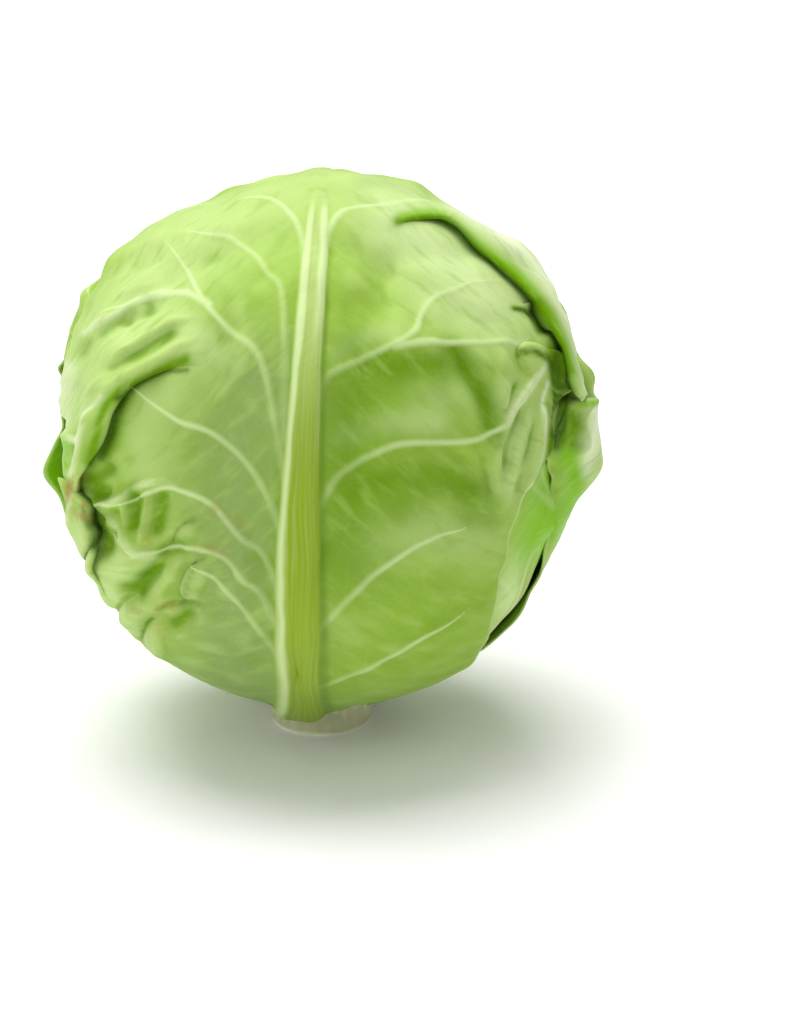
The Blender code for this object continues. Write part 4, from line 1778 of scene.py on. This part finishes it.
SEEN_FOLDS = [
    Fold([(376, 236), (406, 224), (440, 224), (480, 255), (516, 289), (543, 323), (559, 358), (568, 398)],
         lap=0.0060, rise=0.0036, opens_over=0.27),
    Fold([(224, 370), (180, 366), (144, 378), (120, 402), (108, 436), (84, 474), (66, 486)], side=Side.RIGHT,
         lap=0.0064, rise=0.0040, opens_over=0.32),
    Fold([(128, 622), (110, 586), (106, 556), (104, 528), (90, 502), (74, 488)],
         lap=0.0056, rise=0.0036, opens_over=0.40),
    Fold([(510, 308), (522, 310), (532, 314), (541, 322), (549, 333)], side=Side.RIGHT,
         lap=0.0026, rise=0.0016, opens_over=0.4, closes_over=0.2, size=0.35),
    Fold([(512, 358), (519, 352), (530, 351), (541, 355), (552, 363), (563, 378)], side=Side.RIGHT,
         lap=0.0040, rise=0.0026, opens_over=0.3, closes_over=0.15, size=0.45),
    Fold([(205, 555), (194, 569), (188, 585), (184, 604)],
         lap=0.0030, rise=0.0018, opens_over=0.4, closes_over=0.3, size=0.4),
    Fold([(196, 517), (181, 528), (172, 543)],
         lap=0.0016, rise=0.0009, opens_over=0.5, closes_over=0.4, size=0.3),
]


def crests(rise: float, half_width: float, *paths: Places) -> list[Crease]:
    """Sharp crests of one height and width."""
    return [Crease(path, rise, half_width, True) for path in paths]


def hollows(depth: float, half_width: float, *paths: Places) -> list[Crease]:
    """Rounded hollows of one depth and width."""
    return [Crease(path, -depth, half_width) for path in paths]


def washes(wash: Wash, half_width: float, strength: float, *paths: Places) -> list[Stroke]:
    """Strokes of one colour, width and strength."""
    return [Stroke(wash, path, half_width, strength) for path in paths]


SEEN_CREASES = [
    # over the long fold on the left: pale crests with broad hollows between them
    *crests(0.0012, 5, [(84, 334), (100, 323), (122, 313), (143, 301), (163, 295), (188, 293)],
            [(50, 434), (66, 436), (84, 442)]),
    *crests(0.0017, 5, [(100, 372), (120, 355), (140, 343), (160, 331), (178, 321), (206, 319)],
            [(88, 414), (103, 393), (122, 379), (142, 367), (162, 357), (182, 346), (208, 336)],
            [(70, 482), (79, 458), (83, 440), (87, 422), (95, 402)]),
    *hollows(0.0011, 8, [(80, 368), (88, 345), (102, 331), (118, 321), (138, 310)],
             [(156, 294), (149, 310), (136, 324), (120, 334)]),
    *hollows(0.0015, 7,
             [(96, 386), (112, 369), (130, 358), (152, 348), (172, 335), (190, 320)],
             [(62, 436), (70, 418), (76, 396), (82, 380)]),
    *hollows(0.0012, 5, [(88, 420), (97, 402), (112, 388), (124, 380)], [(66, 474), (71, 455), (73, 438)]),
    *hollows(0.0024, 8, [(116, 460), (100, 474), (82, 482)], [(116, 494), (98, 490), (82, 484)]),
    # the star: crests that run together round sunken middles
    Crease([(84, 500), (104, 560), (150, 612)], 0.0020, 34),
    *crests(0.0022, 5.5, [(76, 486), (92, 495), (107, 503), (125, 496), (140, 486), (156, 481), (190, 486)],
            [(84, 490), (102, 505), (116, 520), (128, 536), (142, 550), (166, 560)],
            [(152, 480), (150, 505), (146, 524), (142, 552)]),
    *crests(0.0015, 4, [(125, 494), (127, 518), (128, 542)], [(72, 494), (72, 520), (77, 552), (84, 580)]),
    Crease([(82, 572), (108, 560), (134, 560), (156, 568)], 0.0022, 12),
    Crease([(146, 610), (160, 588), (170, 570), (182, 546)], 0.0018, 8),
    Crease([(120, 630), (134, 609), (152, 602), (178, 606)], 0.0020, 8),
    Crease([(154, 618), (159, 638), (162, 660)], 0.0014, 7),
    *hollows(0.0022, 8, [(84, 496), (98, 510), (110, 524)], [(98, 520), (110, 538), (116, 556)],
             [(165, 488), (160, 512), (154, 536)], [(141, 486), (137, 510), (134, 536)]),
    *hollows(0.0028, 9, [(170, 556), (152, 574), (136, 588), (128, 606)]),
    *hollows(0.0018, 6, [(114, 504), (120, 522), (121, 540)], [(188, 545), (170, 549), (158, 557)],
             [(200, 610), (184, 620), (168, 634)], [(126, 598), (118, 610), (110, 622)]),
    *hollows(0.0014, 3.5, [(156, 615), (145, 627), (140, 648)], [(202, 603), (180, 602), (158, 604)],
             [(92, 520), (96, 538), (91, 556), (92, 576)]),
    # right of the midrib, and the pleats that run to the right margin
    *hollows(0.0028, 9, [(448, 346), (468, 370), (482, 394), (489, 420), (489, 442)]),
    *crests(0.0009, 5, [(470, 345), (492, 368), (504, 395), (507, 420)]),
    *hollows(0.0010, 14, [(400, 480), (440, 482), (478, 504)], [(350, 368), (392, 376), (440, 372)],
             [(400, 520), (440, 512), (480, 520)]),
    Crease([(380, 306), (430, 346), (470, 372)], 0.0010, 14),
    Crease([(500, 346), (507, 376), (501, 404), (496, 430)], 0.0013, 8),
    Crease([(560, 300), (552, 280), (530, 252), (500, 234)], 0.0008, 6, True),
    *crests(0.0015, 5, [(544, 366), (525, 391), (512, 410), (502, 428), (488, 446)],
            [(530, 400), (522, 428), (514, 456), (509, 490)], [(499, 442), (496, 466), (499, 494)],
            [(546, 400), (538, 430), (534, 462), (524, 492)]),
    *hollows(0.0016, 5, [(516, 376), (509, 400), (501, 418)],
             [(524, 396), (515, 424), (506, 450), (503, 486)],
             [(538, 412), (530, 446), (522, 474), (513, 506)], [(482, 446), (486, 474), (491, 500)]),
    *hollows(0.0008, 8, [(456, 446), (470, 468), (478, 494)]),
    *hollows(0.0030, 7, [(556, 346), (560, 376), (562, 406), (556, 440)],
             [(530, 304), (538, 318), (547, 338)]),
    # fine pleats over the long fold on the left
    *crests(0.0005, 2.6, [(100, 350), (118, 338), (140, 325), (158, 316)],
            [(110, 362), (130, 349), (150, 338)], [(150, 354), (170, 347), (190, 341)],
            [(112, 300), (136, 290), (165, 282)], [(86, 396), (97, 382), (112, 372)],
            [(214, 352), (190, 352), (160, 361), (136, 374)]),
    # small slack in the quieter parts
    *hollows(0.0006, 9, [(230, 330), (214, 350), (196, 362)], [(186, 226), (206, 236), (232, 240)],
             [(122, 268), (148, 254), (170, 250)], [(360, 262), (382, 290), (396, 320)],
             [(176, 440), (150, 452), (126, 468)], [(240, 560), (214, 580), (196, 604)]),
]
# Strokes of colour: painted light on lit tops and ridges, painted highlights on lit rims, lips and crests,
# painted shade in hollows, creases and under the folds, painted light shining through thin blades, and the
# leaf's own dried scars
SEEN_STROKES = [
    *washes(Wash.PAINTED_LIGHT, 46, 0.8, [(400, 226), (450, 262), (490, 300)]),
    *washes(Wash.PAINTED_LIGHT, 30, 0.6, [(450, 392), (430, 398)], [(500, 330), (470, 320), (430, 300)],
            [(520, 400), (528, 440), (518, 490)], [(170, 400), (150, 420), (150, 460)],
            [(210, 350), (180, 350)], [(120, 340), (150, 330)], [(372, 548), (420, 530), (470, 540)]),
    *washes(Wash.PAINTED_LIGHT, 16, 0.9, [(88, 520), (84, 545), (92, 575)], [(110, 540), (124, 570), (110, 600)],
            [(500, 400), (516, 440), (508, 480)], [(210, 360), (190, 330)]),
    *washes(Wash.PAINTED_LIGHT, 13, 0.7, [(344, 436), (384, 424), (434, 424)], [(344, 356), (372, 340), (392, 334)]),
    *washes(Wash.DEEP_SHADE, 12, 0.6, [(360, 358), (396, 360), (434, 366)],
            [(356, 490), (400, 474), (440, 472), (470, 492)]),
    *washes(Wash.PAINTED_LIGHT, 36, 0.7, [(200, 215), (160, 262), (120, 310)], [(90, 400), (80, 350)]),
    *washes(Wash.PAINTED_LIGHT, 14, 0.8, [(96, 560), (120, 566), (144, 560)], [(112, 590), (124, 614), (140, 640)]),
    *washes(Wash.HIGHLIGHT, 34, 0.26, [(396, 222), (440, 252), (486, 296)]),
    *washes(Wash.HIGHLIGHT, 10, 0.95, [(455, 203), (495, 230), (532, 260), (560, 298), (580, 340), (590, 385)]),
    *washes(Wash.BACKLIT, 4.0, 0.5,
            [(400, 217), (424, 212), (446, 217), (466, 233), (492, 254), (512, 269), (532, 291), (550, 317),
             (564, 344), (573, 368), (576, 388)]),
    *washes(Wash.HIGHLIGHT, 9, 0.6, [(70, 370), (60, 410), (58, 430)]),
    *washes(Wash.HIGHLIGHT, 2.6, 0.55, [(102, 396), (88, 412), (84, 432), (80, 452), (72, 476)],
            [(54, 434), (80, 440)]),
    *washes(Wash.HIGHLIGHT, 2.4, 0.55, [(84, 334), (100, 323), (122, 313), (143, 301), (163, 295), (188, 293)],
            [(72, 494), (72, 520), (77, 552), (84, 580)]),
    *washes(Wash.HIGHLIGHT, 2.0, 0.4, [(76, 486), (92, 495), (107, 503), (125, 496), (140, 486), (156, 481)],
            [(84, 490), (102, 505), (116, 520), (128, 536), (142, 550), (166, 560)]),
    *washes(Wash.HIGHLIGHT, 3.0, 0.6, [(546, 364), (525, 391), (512, 410), (504, 424)]),
    *washes(Wash.HIGHLIGHT, 2.2, 0.8, [(547, 382), (541, 404), (544, 436), (540, 464), (521, 510)]),
    *washes(Wash.DEEP_SHADE, 42, 0.62, [(352, 400), (348, 470), (352, 560)]),
    *washes(Wash.DEEP_SHADE, 24, 0.55, [(400, 500), (450, 486), (480, 510)], [(360, 360), (400, 374), (440, 372)]),
    *washes(Wash.DEEP_SHADE, 12, 0.9, [(452, 350), (472, 374), (486, 400), (492, 432)]),
    *washes(Wash.DEEP_SHADE, 6, 0.5, [(104, 334), (118, 322), (134, 312)], [(136, 360), (156, 348), (174, 334)],
            [(84, 352), (88, 342)], [(150, 302), (147, 312)]),
    *washes(Wash.DEEP_SHADE, 8, 0.9, [(137, 492), (135, 526)], [(163, 494), (158, 530)],
            [(106, 526), (114, 548)], [(100, 500), (106, 516)],
            [(176, 620), (186, 614)], [(164, 550), (182, 546)],
            [(130, 584), (146, 590)], [(148, 572), (166, 560)], [(90, 482), (106, 492)]),
    *washes(Wash.DEEP_SHADE, 6, 1.0,
            [(90, 462), (97, 440), (102, 420), (110, 402), (124, 390), (146, 378), (170, 366), (186, 360)],
            [(398, 222), (428, 217), (448, 222), (464, 236), (478, 249), (494, 260), (508, 270), (522, 284),
             (536, 299), (547, 314), (555, 332), (563, 350), (569, 372)],
            [(552, 356), (558, 380), (560, 404), (560, 430)], [(554, 440), (552, 470)]),
    *washes(Wash.DEEP_SHADE, 9, 1.0, [(552, 345), (558, 380), (561, 410), (558, 436)]),
    *washes(Wash.CREASE_SHADE, 5, 0.8, [(551, 366), (555, 390), (556, 415), (554, 436)]),
    *washes(Wash.DEEP_SHADE, 7, 0.9, [(554, 436), (548, 460), (540, 480)]),
    *washes(Wash.BACKLIT, 6, 0.8, [(60, 470), (66, 440)]),
    *washes(Wash.CREASE_SHADE, 3.0, 0.35,
            [(446, 228), (462, 243), (478, 257), (500, 272), (524, 296), (536, 310), (545, 326), (556, 348)]),
    *washes(Wash.CREASE_SHADE, 3.0, 0.7, [(518, 352), (534, 352), (550, 361), (562, 376)],
            [(187, 371), (160, 373), (130, 388), (118, 398)],
            [(84, 510), (93, 524), (96, 540), (91, 556), (93, 574)]),
    *washes(Wash.CREASE_SHADE, 7, 0.9, [(534, 308), (544, 330)]),
    *washes(Wash.CREASE_SHADE, 4, 0.6, [(124, 398), (117, 420), (111, 440), (102, 458)]),
    *washes(Wash.DEEP_SHADE, 8, 0.9, [(130, 392), (122, 410), (116, 432), (108, 452)]),
    *washes(Wash.DEEP_SHADE, 3, 1.0, [(512, 309), (524, 311), (534, 317), (545, 330)],
            [(516, 357), (520, 353), (530, 352), (541, 356), (552, 365), (562, 378)]),
    *washes(Wash.CREASE_SHADE, 2, 0.8, [(514, 310), (526, 312), (536, 319)]),
    *washes(Wash.CREASE_SHADE, 3.5, 0.9, [(94, 514), (99, 530), (98, 545)]),
    *washes(Wash.DEEP_SHADE, 7, 0.8, [(112, 468), (92, 480)], [(86, 490), (104, 494)]),
    *washes(Wash.CREASE_SHADE, 6, 0.75, [(556, 350), (562, 376), (563, 400), (560, 432)]),
    *washes(Wash.CREASE_SHADE, 3, 0.35, [(204, 557), (190, 577), (184, 600)], [(194, 519), (181, 528), (173, 541)],
            [(200, 603), (162, 604)], [(154, 617), (144, 628), (140, 645)],
            [(546, 404), (551, 430), (549, 454)]),
    *washes(Wash.SCAR, 7, 0.35, [(204, 506), (222, 510), (240, 524)], [(200, 547), (226, 550), (250, 568)],
            [(150, 530), (152, 544)], [(140, 606), (172, 606)], [(160, 622), (162, 636)]),
    *washes(Wash.SCAR, 6, 0.9, [(78, 476), (70, 490), (65, 506)], [(80, 506), (88, 518)]),
]
FRONT_STROKES = [
    Stroke(Wash.BLOOM, [(-66, -14), (-40, -17), (-12, -18), (12, -17), (26, -12)], 0.023, 0.9),
    # painted light over the crown of the front leaf, where the light falls from above
    Stroke(Wash.PAINTED_LIGHT, [(60, -40), (78, -20), (92, 0), (84, 24), (70, 44)], 0.026, 0.7),
]


def inner_leaves() -> list[Leaf]:
    """The three leaves that cross over the heart, innermost first.

    Returns:
        The leaves.
    """
    back = [(-86, 9), (-74, 18), (-60, 42), (-30, 62), (0, 70), (40, 70), (74, 56)]
    left = [(-86, 9), (-74, 18), (-60, 40), (-30, 60), (0, 68), (40, 68), (66, 58)]
    right = [(-86, 9), (-74, 18), (-60, 40), (-30, 60), (0, 68), (40, 68), (70, 58)]
    return [
        Leaf("leaf_inner_back", 180, back, back, 104, 30, Slot.LEAF_INNER, lines=(90, 80), ribs=0.3, seed=11,
             veins=side_veins((30, 55), 40, 30, 61)),
        Leaf("leaf_inner_left", -75, left, left, 94, 28, Slot.LEAF_INNER, lines=(90, 80), ribs=0.3, seed=12,
             veins=side_veins(INNER_VEIN_STARTS, 48, 30, 52)),
        Leaf("leaf_inner_right", 62, right, right, 98, 28, Slot.LEAF_INNER, lines=(110, 100), ribs=0.1,
             seed=13, veins=side_veins(INNER_VEIN_STARTS, 48, 30, 43),
             # painted light shining through the blade, brightening the shaded recess under the back right leaf
             seen=[*washes(Wash.BACKLIT, 40, 1.0, [(570, 420), (560, 480), (545, 540)]),
                   Crease([(566, 436), (572, 470), (566, 505), (545, 550)], 0.0075, 20)]),
    ]


def outer_leaves() -> list[Leaf]:
    """The three leaves that wrap the head, the broad front one last.

    Returns:
        The leaves.
    """
    back_left = Leaf(
        "leaf_back_left", -145, [(-86, 9), (-74, 18), (-60, 42), (-30, 58), (0, 62), (40, 62), (64, 52)],
        [(-86, 9), (-74, 18), (-60, 36), (-30, 48), (0, 52), (40, 56), (64, 52)], 90, 26, Slot.LEAF_OUTER,
        lines=(165, 145), veins=side_veins(BACK_VEIN_STARTS, 44, 32, 34), ruffle=0.0016, seed=14,
        flares=[Flare(Side.RIGHT, -23, 17, 0.0080, 1.4), Flare(Side.RIGHT, 34, 14, 0.0030, 2.2)],
        creases=[Crease([(20, 30), (34, 36), (44, 48)], 0.0018, 0.0034),
                 Crease([(-30, -40), (-14, -46), (4, -56)], 0.0018, 0.0032)],
        strokes=[Stroke(Wash.BLOOM, [(-60, 0), (-20, 0), (16, 0)], 0.034, 0.8),
                 # painted light shining through the thin lobe at the right margin
                 Stroke(Wash.BACKLIT, [(-44, 46), (-24, 50), (-2, 52)], 0.0085, 0.95)])
    back_right = Leaf(
        "leaf_back_right", 130,
        [(-86, 9), (-74, 18), (-60, 42), (-30, 60), (-12, 65), (4, 68), (16, 70), (30, 66), (66, 54)],
        [(-86, 9), (-74, 18), (-60, 40), (-30, 58), (0, 62), (40, 64), (66, 54)], 94, 28, Slot.LEAF_OUTER,
        lines=(175, 155), veins=side_veins(BACK_VEIN_STARTS, 46, 32, 25), ruffle=0.0018, seed=15,
        flares=[Flare(Side.LEFT, -19, 26, -0.0045, 0.0), Flare(Side.RIGHT, 10, 40, 0.0030, 3.0)],
        folds=[Fold([(46, 22), (36, 34), (22, 44), (6, 54), (-10, 66)], lap=0.0076, rise=0.0042,
                    opens_over=0.45)],
        creases=[Crease([(-26, 34), (-14, 44), (-4, 54)], 0.0018, 0.0034),
                 Crease([(30, -24), (22, -38), (18, -52)], 0.0018, 0.0036),
                 Crease([(27, -43), (16, -47), (4, -49), (-8, -47), (-24, -40)], 0.0084, 0.0105)],
        strokes=[Stroke(Wash.BLOOM, [(-60, 0), (-24, 4), (14, 4)], 0.036, 0.8)],
        # painted highlight on the lip, painted light shining through the blade in the recess, and painted
        # shade under the lip
        seen=[*washes(Wash.HIGHLIGHT, 11, 0.9, [(594, 404), (594, 430), (582, 470)]),
              *washes(Wash.BACKLIT, 3.5, 0.9, [(578, 405), (596, 402)]),
              *washes(Wash.BACKLIT, 12, 1.0, [(564, 452), (572, 478), (566, 505), (552, 530)]),
              *washes(Wash.DEEP_SHADE, 8, 1.0, [(560, 372), (563, 400), (562, 424), (561, 440)]),
              *washes(Wash.DEEP_SHADE, 6.0, 0.95, [(574, 414), (577, 428), (573, 442)]),
              *washes(Wash.CREASE_SHADE, 8, 1.0, [(558, 385), (560, 406), (558, 428), (553, 444)]),
              *hollows(0.0022, 8, [(575, 404), (577, 426), (572, 452)]),
              *crests(0.0022, 5, [(604, 398), (588, 404), (582, 424), (584, 446), (568, 458)])])
    front = Leaf(
        "leaf_front", 0, [(-86, 9), (-74, 18), (-60, 42), (-30, 64), (-10, 70), (20, 76), (50, 76), (85, 62)],
        [(-86, 9), (-74, 18), (-60, 32), (-30, 41), (-10, 47), (2, 54), (12, 57), (22, 57), (30, 63),
         (40, 73), (52, 76), (85, 62)], 116, 31, Slot.LEAF_OUTER, lines=(230, 210),
        midrib=[(-80, -4), (-15, -4.3), (24, -2.6), (59, -0.6), (85, 1), (114, 4)],
        veins=FRONT_VEINS, creases=FRONT_CREASES, flares=[Flare(Side.RIGHT, 12, 22, 0.0022, 1.5)],
        strokes=FRONT_STROKES, seen_folds=SEEN_FOLDS, seen=SEEN_CREASES + SEEN_STROKES, seed=16)
    return [back_left, back_right, front]


# hollow and crest: painted shade in hollows and painted highlight on crests
OUTER_FINISH = LeafFinish(
    name="outer_leaf", green=(0.26, 0.43, 0.045), light=(0.37, 0.53, 0.12), dark=(0.18, 0.34, 0.015),
    hollow=(0.135, 0.28, 0.003), crest=(0.47, 0.62, 0.20))
INNER_FINISH = LeafFinish(
    name="inner_leaf", green=(0.40, 0.58, 0.14), light=(0.52, 0.68, 0.24), dark=(0.28, 0.46, 0.06),
    hollow=(0.20, 0.36, 0.03), crest=(0.62, 0.76, 0.34))


def show(obj: bpy.types.Object, node: str, material: bpy.types.Material) -> None:
    """Dresses a piece, puts it in its node's place and reports it.

    Args:
        obj: The piece.
        node: The node that it takes the place of.
        material: Its finish.
    """
    obj.data.materials.clear()
    obj.data.materials.append(material)
    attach(obj, BODY)
    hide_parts(node)
    LOG.info("%s: %d faces", obj.name, len(obj.data.polygons))


def main() -> None:
    """Builds the head's pieces from the inside out, then the studio."""
    logging.basicConfig(level=logging.INFO, format="%(message)s")
    effects = Effects(vein_effect(), network_effect(), streak_effect(), mottle_effect(), midrib_effect())
    form = HeadForm()
    show(Stump().build(), "stump", StumpFinish().material(effects))
    show(Heart(form).build(), "heart", HeartFinish().material(effects))
    view = PhotoView(form.centre)
    stack = LeafStack(form, view, inner_leaves() + outer_leaves())
    pieces = LeafPieces(stack)
    finishes = {Slot.LEAF_INNER: INNER_FINISH.material(effects),
                Slot.LEAF_OUTER: OUTER_FINISH.material(effects)}
    for leaf in stack.leaves:
        show(pieces.build(leaf), leaf.name, finishes[leaf.slot])
    Studio(view).build()


if __name__ == "__main__":
    main()
